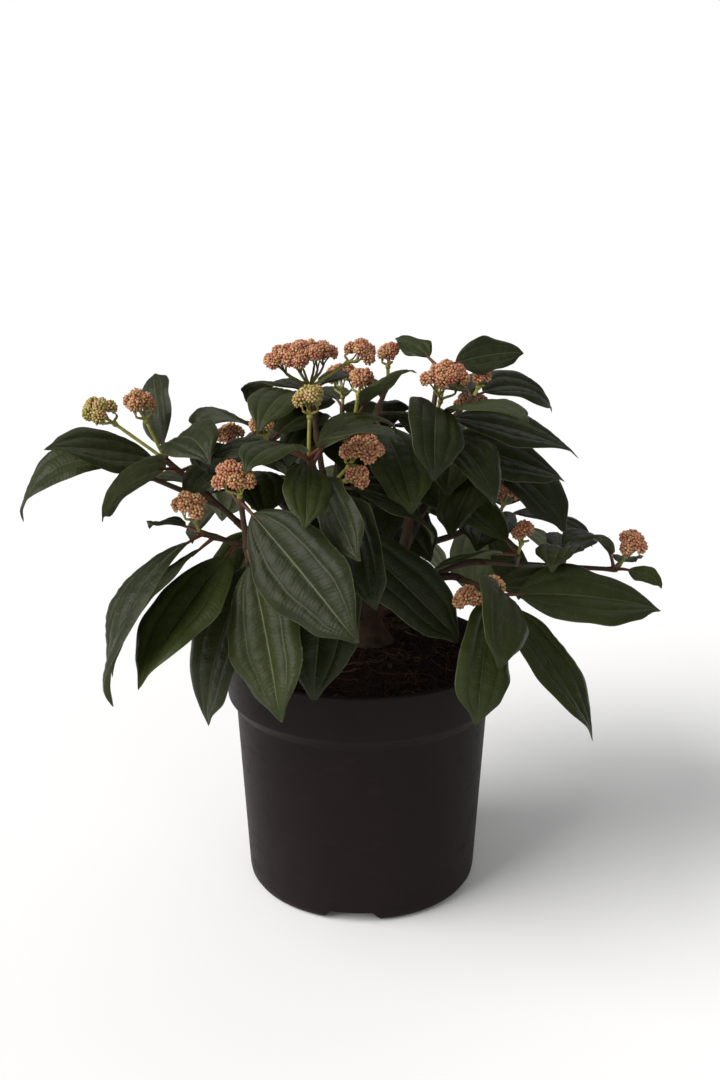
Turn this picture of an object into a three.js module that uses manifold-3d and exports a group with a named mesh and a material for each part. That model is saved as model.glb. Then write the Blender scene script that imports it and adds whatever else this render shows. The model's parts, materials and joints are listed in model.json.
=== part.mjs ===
// A small evergreen viburnum shrub in a round nursery pot.
// Millimetres, +Z up. The origin is the middle of the pot's flat underside, +X runs to the
// right of the front view and +Y away from it.
// The shrub is a short trunk, boughs that fork from it, and one mass of twigs, leaves and
// flower heads at the tip of each bough. Every mass is one closed solid.

import * as THREE from 'three';
import { mergeVertices } from 'three/addons/utils/BufferGeometryUtils.js';
import Module from 'manifold-3d';

const wasm = await Module();
wasm.setup();

// Driving sizes of the pot
const POT_HEIGHT = 171;
const RIM_RADIUS = 95;
const RIM_DEPTH = 39;
const RIM_CHAMFER = 8;
const BODY_TOP_RADIUS = 88.7;
const BODY_LOW_RADIUS = 81.8;
const CORNER_RADIUS = 7.6;
const POT_WALL = 2.2;
const DISC_RADIUS = 50;
const GROOVE_HEIGHT = 8;
const FOOT_RING_INNER = 72;
const NOTCH_COUNT = 3;
const NOTCH_TOP_WIDTH = 29;
const NOTCH_LOW_WIDTH = 41;
const NOTCH_DEPTH = 30;
const NOTCH_TURN = -95;
const POT_SIDES = 32;

// Driving sizes of the soil, the trunk and the limbs
const GAP = 0.3;
const SOIL_EDGE = 160;
const SOIL_TOP = 173;
const SOIL_SEAT_RADIUS = 26;
const TRUNK_FOOT = [6, 4];
const TRUNK_TOP = [2, 0, 217];
const TRUNK_FOOT_RADIUS = 17;
const TRUNK_WAIST_RADIUS = 10.5;
const TRUNK_TOP_RADIUS = 7.5;
const TRUNK_FLARE_SHARE = 0.35;
const TRUNK_SIDES = 12;
const TRUNK_STEPS = 7;
const BOUGH_FOOT_RADIUS = 4.8;
const BOUGH_TIP_RADIUS = 2.4;
const FORK_SHARE = 0.75;
const FORK_RISE = { trunk: 0.8, bough: 0.6 };
const FORK_SWEEP = 0.35;
const TIP_SWEEP = 0.3;
const BOUGH_SIDES = 5;
const BOUGH_STEPS = 5;
const STEM_RADIUS = 2.2;
const TWIG_RADIUS = 1.8;
const TWIG_TIP_RADIUS = 1.6;
const PETIOLE_RADIUS = 1.2;
const STALK_RADIUS = 1.2;
const RAY_RADIUS = 0.8;
const TWIG_SIDES = 5;
const STALK_SIDES = 3;

// Driving sizes of a flower head, as shares of its radius where they have no unit
const KNUCKLE_RADIUS = 2.6;
const WIDE_HEAD = 20;
const HEAD_CLUSTERS = { plain: 3, wide: 6 };
const CLUSTER_SHARE = { plain: 0.71, wide: 0.41 };
const CLUSTER_SPREAD = { plain: 0.38, wide: 0.64 };
const NECK_SHARE = 0.9;

// Driving sizes of a leaf
const PETIOLE_LENGTH = 12;
const LEAF_WIDTH_SHARE = 0.45;
const LEAF_HALF_THICKNESS = 0.7;
const LEAF_FOLD = 14;
const LEAF_STATIONS = [0.14, 0.4, 0.68, 0.88, 1];

// The rule that sets opposite pairs of leaves up a twig: the top pair's share of the twig and
// the step to the next, then the middle value and the spread of each angle and of the length
const PAIR_TOP = 0.96;
const PAIR_STEP = 0.24;
const PAIR_TURN = 90;
const PAIR_DROOP = 12;
const RULE_TURN = { middle: 45, spread: 30 };
const RULE_RISE = { middle: 22, spread: 20 };
const RULE_BEND = { middle: 45, spread: 30 };
const RULE_LENGTH = { middle: 100, spread: 22 };
const RULE_ROLL = { middle: 0, spread: 20 };
const FIRST_SEED = 101;
const SEED_STEP = 37;

// The dome that the leaves set by the rule keep inside
const DOME_CENTRE = [-4, 40, 215];
const DOME_RADII = [150, 175, 165];

// How close two leaves, or a leaf and a limb, may come
const LEAF_CLEARANCE = 2.8;
const SISTER_CLEARANCE = 1.6;
const LIMB_CLEARANCE = 1.4;
const SAMPLES_ALONG = 20;
const SAMPLES_ACROSS = [-1, -0.75, -0.5, -0.25, 0, 0.25, 0.5, 0.75, 1];
const GIVE_RISE = [0, 4, -4, 8, -8, 12, -12, 16, -16, 20, -20, 25, -25];
const GIVE_TURN = [0, 9, -9, 18, -18, 27, -27];

const COLOURS = {
  pot: [0x2b2728, 0.62],
  soil: [0x2a1c14, 1.0],
  bark: [0x6a4a34, 0.85],
  leaves: [0x34452a, 0.45],
};

const radians = THREE.MathUtils.degToRad;
const point = (p) => new THREE.Vector3(p[0], p[1], p[2]);

// One seeded stream of numbers from 0 to 1 (the minimal standard generator)
function stream(seed) {
  let state = seed;
  return () => {
    state = (state * 16807) % 2147483647;
    return state / 2147483647;
  };
}

// Closed geometry to solid and back
function solid(geometry) {
  const bare = geometry.clone();
  bare.deleteAttribute('normal');
  bare.deleteAttribute('uv');
  const merged = mergeVertices(bare, 1e-5);
  return new wasm.Manifold(new wasm.Mesh({
    numProp: 3,
    vertProperties: new Float32Array(merged.attributes.position.array),
    triVerts: new Uint32Array(merged.index.array),
  }));
}

function geometryOf(body) {
  const mesh = body.getMesh();
  const geometry = new THREE.BufferGeometry();
  geometry.setAttribute('position', new THREE.BufferAttribute(mesh.vertProperties, 3));
  geometry.setIndex(new THREE.BufferAttribute(mesh.triVerts, 1));
  geometry.computeVertexNormals();
  return geometry;
}

const plant = new THREE.Group();

function add(name, body, finish) {
  const [color, roughness] = COLOURS[finish];
  const material = new THREE.MeshStandardMaterial({ color, roughness, metalness: 0 });
  const mesh = new THREE.Mesh(geometryOf(body), material);
  mesh.name = name;
  plant.add(mesh);
}

// A lathe profile of [radius, height] pairs turned round +Z
function turned(profile, sides) {
  const outline = profile.map(([r, z]) => new THREE.Vector2(r, z));
  return solid(new THREE.LatheGeometry(outline, sides).rotateX(Math.PI / 2));
}

// A bent, tapering rod: a cylinder whose rings are carried along a curve
function rod(curve, radius, sides, steps) {
  const shape = new THREE.CylinderGeometry(1, 1, 1, sides, steps);
  const frames = curve.computeFrenetFrames(steps);
  const place = shape.attributes.position;
  const moved = new THREE.Vector3();
  for (let i = 0; i < place.count; i += 1) {
    const ring = Math.round((place.getY(i) + 0.5) * steps);
    const size = radius(ring / steps);
    moved.copy(curve.getPointAt(ring / steps));
    moved.addScaledVector(frames.binormals[ring], place.getX(i) * size);
    moved.addScaledVector(frames.normals[ring], place.getZ(i) * size);
    place.setXYZ(i, moved.x, moved.y, moved.z);
  }
  return solid(shape);
}

const tapering = (first, last) => (along) => first + (last - first) * along;

// Pot
function potSolid() {
  const low = POT_HEIGHT - RIM_DEPTH;
  const corner = [0, 30, 60, 90].map((turn) => [
    BODY_LOW_RADIUS - CORNER_RADIUS * (1 - Math.sin(radians(turn))),
    CORNER_RADIUS * (1 - Math.cos(radians(turn))),
  ]);
  const outside = [
    [0, 0], [DISC_RADIUS, 0], [DISC_RADIUS + 2, GROOVE_HEIGHT],
    [FOOT_RING_INNER - 0.5, GROOVE_HEIGHT], [FOOT_RING_INNER, 0], ...corner,
    [BODY_TOP_RADIUS, low], [RIM_RADIUS - 0.5, low + RIM_CHAMFER],
    [RIM_RADIUS, POT_HEIGHT - 1.5], [RIM_RADIUS - 0.9, POT_HEIGHT],
  ];
  const inside = [
    [RIM_RADIUS - 2, POT_HEIGHT], [RIM_RADIUS - 2.7, POT_HEIGHT - 1.5],
    [RIM_RADIUS - POT_WALL - 0.5, low + RIM_CHAMFER],
    [BODY_TOP_RADIUS - POT_WALL, low], [BODY_LOW_RADIUS - POT_WALL, GROOVE_HEIGHT + POT_WALL],
    [DISC_RADIUS + 1, GROOVE_HEIGHT + POT_WALL], [DISC_RADIUS - 1, POT_WALL], [0, POT_WALL],
  ];
  let pot = turned([...outside, ...inside], POT_SIDES);
  const notch = new THREE.Shape([
    new THREE.Vector2(-NOTCH_LOW_WIDTH / 2, -1), new THREE.Vector2(NOTCH_LOW_WIDTH / 2, -1),
    new THREE.Vector2(NOTCH_TOP_WIDTH / 2, GROOVE_HEIGHT),
    new THREE.Vector2(-NOTCH_TOP_WIDTH / 2, GROOVE_HEIGHT),
  ]);
  for (let i = 0; i < NOTCH_COUNT; i += 1) {
    const cutter = new THREE.ExtrudeGeometry(notch, { depth: NOTCH_DEPTH, bevelEnabled: false });
    cutter.rotateX(Math.PI / 2).translate(0, -(FOOT_RING_INNER - 5), 0);
    cutter.rotateZ(radians(NOTCH_TURN + 90 + (i * 360) / NOTCH_COUNT));
    pot = pot.subtract(solid(cutter));
  }
  return pot;
}

// Soil, which fills the pot and rises to a low dome round the trunk
function soilSolid() {
  const low = POT_HEIGHT - RIM_DEPTH;
  const clear = POT_WALL + 0.4;
  const floor = GROOVE_HEIGHT + POT_WALL + GAP;
  return turned([
    [0, POT_WALL + GAP], [DISC_RADIUS - 1.5, POT_WALL + GAP], [DISC_RADIUS + 0.4, floor],
    [BODY_LOW_RADIUS - clear, floor], [BODY_TOP_RADIUS - clear, low],
    [RIM_RADIUS - clear - 0.6, low + RIM_CHAMFER], [RIM_RADIUS - clear - 0.6, SOIL_EDGE],
    [RIM_RADIUS * 0.72, SOIL_EDGE + 4], [RIM_RADIUS * 0.45, SOIL_TOP - 4],
    [SOIL_SEAT_RADIUS, SOIL_TOP], [0, SOIL_TOP],
  ], POT_SIDES);
}

// Trunk, from a flat cut on the soil to its fork
const trunkCurve = new THREE.CubicBezierCurve3(
  point([...TRUNK_FOOT, SOIL_TOP + GAP]),
  point([...TRUNK_FOOT, SOIL_TOP + 12]),
  point([TRUNK_TOP[0], TRUNK_TOP[1], TRUNK_TOP[2] - 14]),
  point(TRUNK_TOP),
);

function trunkRadius(along) {
  const flare = (TRUNK_FOOT_RADIUS - TRUNK_WAIST_RADIUS) * Math.max(0, 1 - along / TRUNK_FLARE_SHARE) ** 2;
  return flare + tapering(TRUNK_WAIST_RADIUS, TRUNK_TOP_RADIUS)(along);
}

const trunkSolid = (extra) => (
  rod(trunkCurve, (u) => trunkRadius(u) + extra, TRUNK_SIDES, TRUNK_STEPS)
);

// A leaf is a petiole and a blade on one arc. The arc lies in the upright plane of its
// compass turn (0 is +X, 90 is +Y), starts at its rise above level and curls down by its
// bend. The roll tips the blade about its midrib. Lengths include the petiole.
function leafAt(start, turn, rise, bend, length, roll) {
  const heading = new THREE.Vector3(Math.cos(radians(turn)), Math.sin(radians(turn)), 0);
  const across = new THREE.Vector3(-heading.y, heading.x, 0);
  const leaf = {
    start, heading, across, length,
    rise: radians(rise), bend: radians(bend), roll: radians(roll),
    root: PETIOLE_LENGTH / length,
  };
  leaf.middle = onLeaf(leaf, 0.5, 0, 0);
  return leaf;
}

// Half the width of the blade, pointed at both ends, at a share x of the blade's length
function bladeShare(x) {
  if (x <= 0 || x >= 1) return 0;
  return (x ** 0.7 * (1 - x) ** 0.8) / 0.3504;
}

function halfWidth(leaf, s) {
  const blade = (s - leaf.root) / (1 - leaf.root);
  return (leaf.length * LEAF_WIDTH_SHARE * bladeShare(blade)) / 2;
}

// The point on the leaf at share s of its length, sideways and lifted off the midrib
function onLeaf(leaf, s, sideways, lifted) {
  const slope = leaf.rise - leaf.bend * s;
  const reach = leaf.length / leaf.bend;
  const out = reach * (Math.sin(leaf.rise) - Math.sin(slope));
  const up = reach * (Math.cos(slope) - Math.cos(leaf.rise));
  const left = Math.cos(leaf.roll) * sideways - Math.sin(leaf.roll) * lifted;
  const high = Math.sin(leaf.roll) * sideways + Math.cos(leaf.roll) * lifted;
  const spot = leaf.start.clone();
  spot.addScaledVector(leaf.heading, out - Math.sin(slope) * high);
  spot.addScaledVector(leaf.across, left);
  spot.z += up + Math.cos(slope) * high;
  return spot;
}

// Where a place lies on a leaf: share of its length, sideways, and height off the blade
function placeOnLeaf(leaf, spot) {
  const away = spot.clone().sub(leaf.start);
  const reach = leaf.length / leaf.bend;
  const way = Math.sign(reach);
  const out = away.dot(leaf.heading) - reach * Math.sin(leaf.rise);
  const up = away.z + reach * Math.cos(leaf.rise);
  const slope = Math.atan2(-way * out, way * up);
  const off = way * Math.hypot(out, up) - reach;
  const left = away.dot(leaf.across);
  return {
    s: (leaf.rise - slope) / leaf.bend,
    sideways: Math.cos(leaf.roll) * left + Math.sin(leaf.roll) * off,
    lifted: -Math.sin(leaf.roll) * left + Math.cos(leaf.roll) * off,
  };
}

function samplesOf(leaf) {
  const spots = [];
  for (let i = 0; i <= SAMPLES_ALONG; i += 1) {
    const s = leaf.root + ((1 - leaf.root) * i) / SAMPLES_ALONG;
    const wide = halfWidth(leaf, s);
    for (const share of SAMPLES_ACROSS) {
      const lift = Math.abs(share) * wide * Math.sin(radians(LEAF_FOLD));
      spots.push(onLeaf(leaf, s, share * wide * Math.cos(radians(LEAF_FOLD)), lift));
    }
  }
  return spots;
}

const isNear = (leaf, spot, distance) => (
  leaf.middle.distanceToSquared(spot) < (leaf.length / 2 + distance) ** 2
);

function touches(leaf, spots, clearance) {
  return spots.some((spot) => {
    if (!isNear(leaf, spot, clearance + 1)) return false;
    const { s, sideways, lifted } = placeOnLeaf(leaf, spot);
    if (s < 0 || s > 1.03) return false;
    const wide = Math.max(halfWidth(leaf, Math.min(s, 1)) * Math.cos(radians(LEAF_FOLD)), 1.5);
    const beyond = Math.max(Math.abs(sideways) - wide, 0);
    const lift = Math.min(Math.abs(sideways), wide) * Math.tan(radians(LEAF_FOLD));
    return Math.hypot(beyond, lifted - lift) < clearance;
  });
}

function leafSolid(leaf) {
  const stations = [0, leaf.root, ...LEAF_STATIONS.map((x) => leaf.root + (1 - leaf.root) * x)];
  const steps = stations.length - 1;
  const shape = new THREE.CylinderGeometry(1, 1, 1, 4, steps);
  const place = shape.attributes.position;
  for (let i = 0; i < place.count; i += 1) {
    const s = stations[Math.round((place.getY(i) + 0.5) * steps)];
    const wide = Math.max(halfWidth(leaf, s), s > 0.5 ? 0.5 : PETIOLE_RADIUS);
    const thick = s <= leaf.root ? PETIOLE_RADIUS : LEAF_HALF_THICKNESS;
    const sideways = place.getX(i) * wide * Math.cos(radians(LEAF_FOLD));
    const fold = s <= leaf.root ? 0 : Math.sin(radians(LEAF_FOLD));
    const lifted = Math.abs(place.getX(i)) * wide * fold - place.getZ(i) * thick;
    const spot = onLeaf(leaf, s, sideways, lifted);
    place.setXYZ(i, spot.x, spot.y, spot.z);
  }
  return solid(shape);
}

// Limbs that leaves stay clear of, as balls strung along each limb's curve
const balls = [];

function string(curve, radius, owner) {
  const count = Math.ceil(curve.getLength() / 4);
  for (let i = 0; i <= count; i += 1) {
    balls.push({ spot: curve.getPointAt(i / count), radius: radius(i / count), owner });
  }
}

// The masses. Each row gives the bough's parent and how far along it the bough leaves, the
// mass's foot, and its twigs: the first is the stem, and the others leave it part way up.
// A twig has a tip, flower heads as [x, y, z, radius], posed leaves as
// [share of twig, turn, rise, bend, length, roll] and a count of leaf pairs set by the rule.
const masses = [
  {
    name: 'left_low_spray', parent: 'trunk', leaves: 0.36, foot: [-58, -46, 252],
    twigs: [
      {
        tip: [-103, -65, 272], heads: [[-108, -70, 290, 12]], pairs: 0,
        posed: [
          [0.95, 227, -8, 85, 136, 23], [0.8, 192, -26, 35, 115, 20],
          [0.5, 237, -21, 16, 120, 2], [1, 150, 20, 45, 45, 0], [0.2, 229, -46, 40, 122, 5],
        ],
      },
    ],
  },
  {
    name: 'left_spray', parent: 'left_low_spray', leaves: 0.55, foot: [-84, -22, 268],
    twigs: [
      {
        tip: [-128, -32, 312], heads: [[-144, -30, 347, 12], [-170, -25, 341, 13]], pairs: 0,
        posed: [
          [0.95, 220, 20, 10, 90, -35], [1, 105, 48, 15, 75, -60], [0.85, 242, 20, 55, 86, 55],
          [1, 301, 45, 85, 84, 25], [0.8, 50, 15, 50, 105, 10], [0.6, 140, 5, 45, 95, 0],
          [0.4, 90, 0, 50, 90, 0],
        ],
      },
      {
        from: 0.25, tip: [-143, -38, 304], heads: [], pairs: 0,
        posed: [[1, 193, 40, 120, 100, -15]],
      },
    ],
  },
  {
    name: 'front_left_spray', parent: 'left_low_spray', leaves: 0.6, foot: [-71, -78, 256],
    twigs: [
      {
        tip: [-74, -94, 302], heads: [[-77, -98, 315, 14]], pairs: 0,
        posed: [[0.95, 315, -30, 5, 120, 60], [0.25, 292, -48, 10, 113, 42],
          [0.9, 165, 62, 12, 50, 20]],
      },
    ],
  },
  {
    name: 'front_spray', parent: 'top_left_spray', leaves: 0.45, foot: [-20, -42, 262],
    twigs: [
      {
        tip: [-18, -62, 304], heads: [[0, -70, 325, 15], [-4, -74, 309, 9]], pairs: 0,
        posed: [[0.9, 21, 0, 65, 90, 23], [0.3, 340, -35, 10, 113, 25], [0.6, 291, 8, 85, 95, 70],
          [0.25, 262, -45, 35, 120, 0]],
      },
      {
        from: 0.45, tip: [-33, -75, 323], heads: [[-32, -72, 358, 11]], pairs: 0,
        posed: [
          [0.95, 270, -15, 45, 70, -20], [0.75, 291, -20, 10, 84, 70], [0.9, 236, 45, 75, 75, 0],
          [1, 320, 42, 50, 78, 0], [0.85, 35, 60, 105, 80, 0], [0.95, 185, 35, 60, 66, 0],
        ],
      },
    ],
  },
  {
    name: 'top_left_spray', parent: 'trunk', leaves: 0.74, foot: [-27, -2, 298],
    twigs: [
      {
        tip: [-35, 8, 352], heads: [[-42, 8, 373, 27], [-1, 15, 374, 12]], pairs: 0,
        posed: [
          [0.9, 133, 22, 62, 75, 0], [0.95, 50, 42, 75, 84, 0], [0.7, 249, 45, 94, 92, 0],
          [0.7, 100, 10, 45, 100, 0], [0.4, 5, 5, 40, 85, 0],
        ],
      },
      {
        from: 0.2, tip: [-62, -14, 320], heads: [[-66, -20, 331, 9]], pairs: 1,
        posed: [[0.9, 128, 17, 49, 103, 25], [0.8, 215, 5, 50, 80, 0]],
      },
    ],
  },
  {
    name: 'top_spray', parent: 'top_right_spray', leaves: 0.7, foot: [6, -4, 306],
    twigs: [
      {
        tip: [-5, -25, 338], heads: [[-1, -25, 362, 10]], pairs: 0,
        posed: [[0.95, 312, 45, 45, 62, 0], [0.8, 355, 30, 60, 70, 0]],
      },
      {
        from: 0.4, tip: [18, 36, 350], heads: [[18, 38, 370, 9]], pairs: 1,
        posed: [[0.6, 100, 0, 45, 105, 0], [0.5, 55, -5, 40, 95, 0], [0.4, 290, -15, 40, 92, 0]],
      },
    ],
  },
  {
    name: 'top_right_spray', parent: 'trunk', leaves: 0.7, foot: [38, -2, 300],
    twigs: [
      {
        tip: [50, -10, 340], heads: [[55, -15, 361, 17]], pairs: 0,
        posed: [
          [1, 264, 27, 100, 90, -29], [0.9, 357, -3, 22, 100, 20],
          [0.85, 312, 15, 48, 88, 0], [0.5, 9, -12, 13, 103, 36], [0.4, 302, 32, 96, 88, 5],
        ],
      },
      {
        from: 0.4, tip: [76, 20, 344], heads: [[82, 22, 356, 7]], pairs: 1,
        posed: [[0.95, 39, 22, 66, 88, 26]],
      },
      {
        from: 0.6, tip: [52, 17, 364], heads: [], pairs: 0,
        posed: [[1, 130, 26, 20, 46, -20], [1, 10, 19, 24, 61, 54]],
      },
    ],
  },
  {
    name: 'right_front_spray', parent: 'trunk', leaves: 0.36, foot: [66, -30, 230],
    twigs: [
      {
        tip: [91, -60, 228], heads: [[67, -78, 232, 10], [84, -70, 237, 9]], pairs: 0,
        posed: [
          [0.95, 9, 0, 14, 112, 36], [0.9, 253, -12, 66, 98, -54], [1, 263, 35, 96, 94, -46],
          [0.85, 317, -35, 19, 113, -5], [0.5, 16, 8, 12, 118, 17],
        ],
      },
    ],
  },
  {
    name: 'right_spray', parent: 'right_front_spray', leaves: 0.55, foot: [84, 8, 230],
    twigs: [
      {
        tip: [178, 6, 225], heads: [[186, 0, 245, 12]], pairs: 0,
        posed: [
          [0.97, 60, 15, 40, 45, 0], [0.6, 256, 64, 100, 70, 0], [0.97, 220, 80, 112, 64, 0],
          [0.6, 75, 25, 60, 85, 0], [0.97, 320, 20, 60, 39, 20],
        ],
      },
      {
        from: 0.25, tip: [107, -5, 240], heads: [[111, -5, 255, 9]], pairs: 1,
        posed: [[0.9, 200, 10, 50, 80, 20]],
      },
    ],
  },
  {
    name: 'back_left_spray', parent: 'trunk', leaves: 0.52, foot: [-58, 46, 262],
    twigs: [
      { tip: [-92, 66, 290], heads: [[-96, 70, 306, 12]], pairs: 3, posed: [] },
      { from: 0.3, tip: [-78, 92, 270], heads: [], pairs: 3, posed: [] },
    ],
  },
  {
    name: 'back_spray', parent: 'back_left_spray', leaves: 0.55, foot: [-18, 66, 284],
    twigs: [
      { tip: [-14, 88, 326], heads: [[-14, 92, 345, 15]], pairs: 3, posed: [] },
      { from: 0.35, tip: [-42, 74, 318], heads: [], pairs: 2, posed: [] },
      { from: 0.35, tip: [14, 84, 312], heads: [], pairs: 2, posed: [] },
    ],
  },
  {
    name: 'back_right_spray', parent: 'trunk', leaves: 0.54, foot: [52, 52, 272],
    twigs: [
      { tip: [76, 72, 310], heads: [[80, 76, 328, 14]], pairs: 3, posed: [] },
      { from: 0.3, tip: [98, 46, 300], heads: [], pairs: 3, posed: [] },
    ],
  },
  {
    name: 'low_back_left_spray', parent: 'back_left_spray', leaves: 0.35, foot: [-52, 84, 222],
    twigs: [
      { tip: [-78, 112, 232], heads: [[-82, 118, 246, 10]], pairs: 3, posed: [] },
    ],
  },
  {
    name: 'low_back_spray', parent: 'trunk', leaves: 0.36, foot: [8, 88, 226],
    twigs: [
      {
        tip: [6, 122, 244], heads: [[6, 128, 260, 12]], pairs: 1,
        posed: [
          [0.95, 60, 20, 50, 100, 0], [0.95, 122, 20, 50, 105, 0], [0.95, 0, 10, 50, 90, 0],
          [0.95, 185, 10, 50, 90, 0], [0.6, 90, -5, 50, 110, 0], [0.5, 35, -18, 45, 98, 0],
          [0.5, 148, -18, 45, 100, 0],
        ],
      },
    ],
  },
  {
    name: 'low_back_right_spray', parent: 'low_back_spray', leaves: 0.5, foot: [76, 86, 230],
    twigs: [
      {
        tip: [106, 102, 240], heads: [[111, 106, 254, 10]], pairs: 1,
        posed: [
          [0.95, 70, 20, 50, 100, 0], [0.95, 128, 15, 50, 95, 0], [0.9, 350, 5, 55, 80, 0],
          [0.6, 30, -8, 50, 95, 0], [0.5, 100, -12, 50, 100, 0], [0.6, 300, -30, 30, 70, 0],
        ],
      },
    ],
  },
];

// Boughs: each leaves its parent and ends square to the stem that goes on from it
const boughs = new Map();

function boughOf(mass) {
  const parent = mass.parent === 'trunk'
    ? { curve: trunkCurve, radius: trunkRadius }
    : boughs.get(mass.parent);
  const start = parent.curve.getPointAt(mass.leaves);
  const foot = point(mass.foot);
  const onward = point(mass.twigs[0].tip).sub(foot).normalize();
  const span = foot.distanceTo(start);
  const outward = foot.clone().sub(start).setZ(0).normalize();
  outward.z = mass.parent === 'trunk' ? FORK_RISE.trunk : FORK_RISE.bough;
  const curve = new THREE.CubicBezierCurve3(
    start,
    start.clone().addScaledVector(outward, span * FORK_SWEEP),
    foot.clone().addScaledVector(onward, -span * TIP_SWEEP),
    foot,
  );
  const first = mass.parent === 'trunk'
    ? BOUGH_FOOT_RADIUS
    : parent.radius(mass.leaves) * FORK_SHARE;
  return { curve, radius: tapering(first, BOUGH_TIP_RADIUS), parent };
}

const inOrder = [...masses].sort((a, b) => (a.parent !== 'trunk') - (b.parent !== 'trunk'));
for (const mass of inOrder) boughs.set(mass.name, boughOf(mass));

// Twigs of a mass, with the stem first
function twigCurves(mass) {
  const foot = point(mass.foot);
  const stemTip = point(mass.twigs[0].tip);
  return mass.twigs.map((twig, i) => {
    if (i > 0) return new THREE.LineCurve3(foot.clone().lerp(stemTip, twig.from), point(twig.tip));
    const onward = stemTip.clone().sub(foot).normalize();
    return new THREE.LineCurve3(foot.clone().addScaledVector(onward, GAP), stemTip);
  });
}

string(trunkCurve, trunkRadius, 'trunk');
for (const [name, bough] of boughs) string(bough.curve, bough.radius, `bough of ${name}`);
for (const mass of masses) {
  mass.curves = twigCurves(mass);
  mass.grown = [];
  mass.curves.forEach((curve) => string(curve, () => STEM_RADIUS, mass.name));
  mass.twigs.forEach((twig, i) => {
    for (const [x, y, z, radius] of twig.heads) {
      const head = new THREE.Vector3(x, y, z);
      const stalk = new THREE.LineCurve3(mass.curves[i].getPointAt(1), head);
      string(stalk, () => RAY_RADIUS, mass.name);
      balls.push({ spot: head, radius: Math.min(radius, WIDE_HEAD - 4), owner: mass.name });
    }
  });
}

// A leaf is free if it clears the pot, the limbs, the flower heads and the other leaves
function isFree(leaf, spots, mass) {
  const inPot = (spot) => Math.hypot(spot.x, spot.y) < RIM_RADIUS + 2 && spot.z < POT_HEIGHT + 4;
  if (spots.some(inPot)) return false;
  for (const ball of balls) {
    const near = ball.radius + LIMB_CLEARANCE;
    if (!isNear(leaf, ball.spot, near + 1)) continue;
    const first = ball.owner === mass.name ? 5 * SAMPLES_ACROSS.length : 0;
    for (let i = first; i < spots.length; i += 1) {
      if (spots[i].distanceTo(ball.spot) < near) return false;
    }
    const { s, sideways, lifted } = placeOnLeaf(leaf, ball.spot);
    const inside = s > 0.3 && s < 1 && Math.abs(sideways) < halfWidth(leaf, s);
    if (inside && Math.abs(lifted) < near) return false;
  }
  for (const other of masses) {
    const skip = other === mass ? 3 * SAMPLES_ACROSS.length : 0;
    const clearance = other === mass ? SISTER_CLEARANCE : LEAF_CLEARANCE;
    for (const grown of other.grown) {
      if (!isNear(leaf, grown.leaf.middle, grown.leaf.length / 2 + clearance + 1)) continue;
      if (touches(grown.leaf, spots.slice(skip), clearance)) return false;
      if (touches(leaf, grown.spots.slice(skip), clearance)) return false;
    }
  }
  return true;
}

function leavesDome(leaf) {
  const tip = onLeaf(leaf, 1, 0, 0).toArray();
  return Math.hypot(...tip.map((v, i) => (v - DOME_CENTRE[i]) / DOME_RADII[i])) > 1;
}

// Grows a leaf where it is meant to be, or turned a few degrees aside, up or down where it
// would touch something. With no room at all it is left out.
function grow(mass, curve, [share, turn, rise, bend, length, roll], bounded) {
  const start = curve.getPointAt(share);
  for (const aside of GIVE_TURN) {
    for (const up of GIVE_RISE) {
      const leaf = leafAt(start, turn + aside, rise + up, bend, length, roll);
      const spots = samplesOf(leaf);
      if (isFree(leaf, spots, mass) && !(bounded && leavesDome(leaf))) {
        mass.grown.push({ leaf, spots });
        return;
      }
    }
  }
}

for (const mass of masses) {
  mass.twigs.forEach((twig, i) => {
    for (const pose of twig.posed) grow(mass, mass.curves[i], pose, false);
  });
}

// Leaves set by the rule: opposite pairs up the twig, each a quarter turn from the last
masses.forEach((mass, number) => {
  const next = stream(FIRST_SEED + SEED_STEP * number);
  const drawn = ({ middle, spread }) => middle + spread * (next() - 0.5);
  mass.twigs.forEach((twig, i) => {
    const along = mass.curves[i].getPointAt(1).sub(mass.curves[i].getPointAt(0));
    const heading = THREE.MathUtils.radToDeg(Math.atan2(along.y, along.x));
    for (let pair = 0; pair < twig.pairs; pair += 1) {
      for (const side of [0, 180]) {
        const turn = heading + PAIR_TURN * pair + side + drawn(RULE_TURN);
        const rise = drawn(RULE_RISE) - PAIR_DROOP * pair;
        const bend = drawn(RULE_BEND);
        const length = drawn(RULE_LENGTH);
        const roll = drawn(RULE_ROLL);
        const share = PAIR_TOP - PAIR_STEP * pair;
        grow(mass, mass.curves[i], [share, turn, rise, bend, length, roll], true);
      }
    }
  });
});

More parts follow.
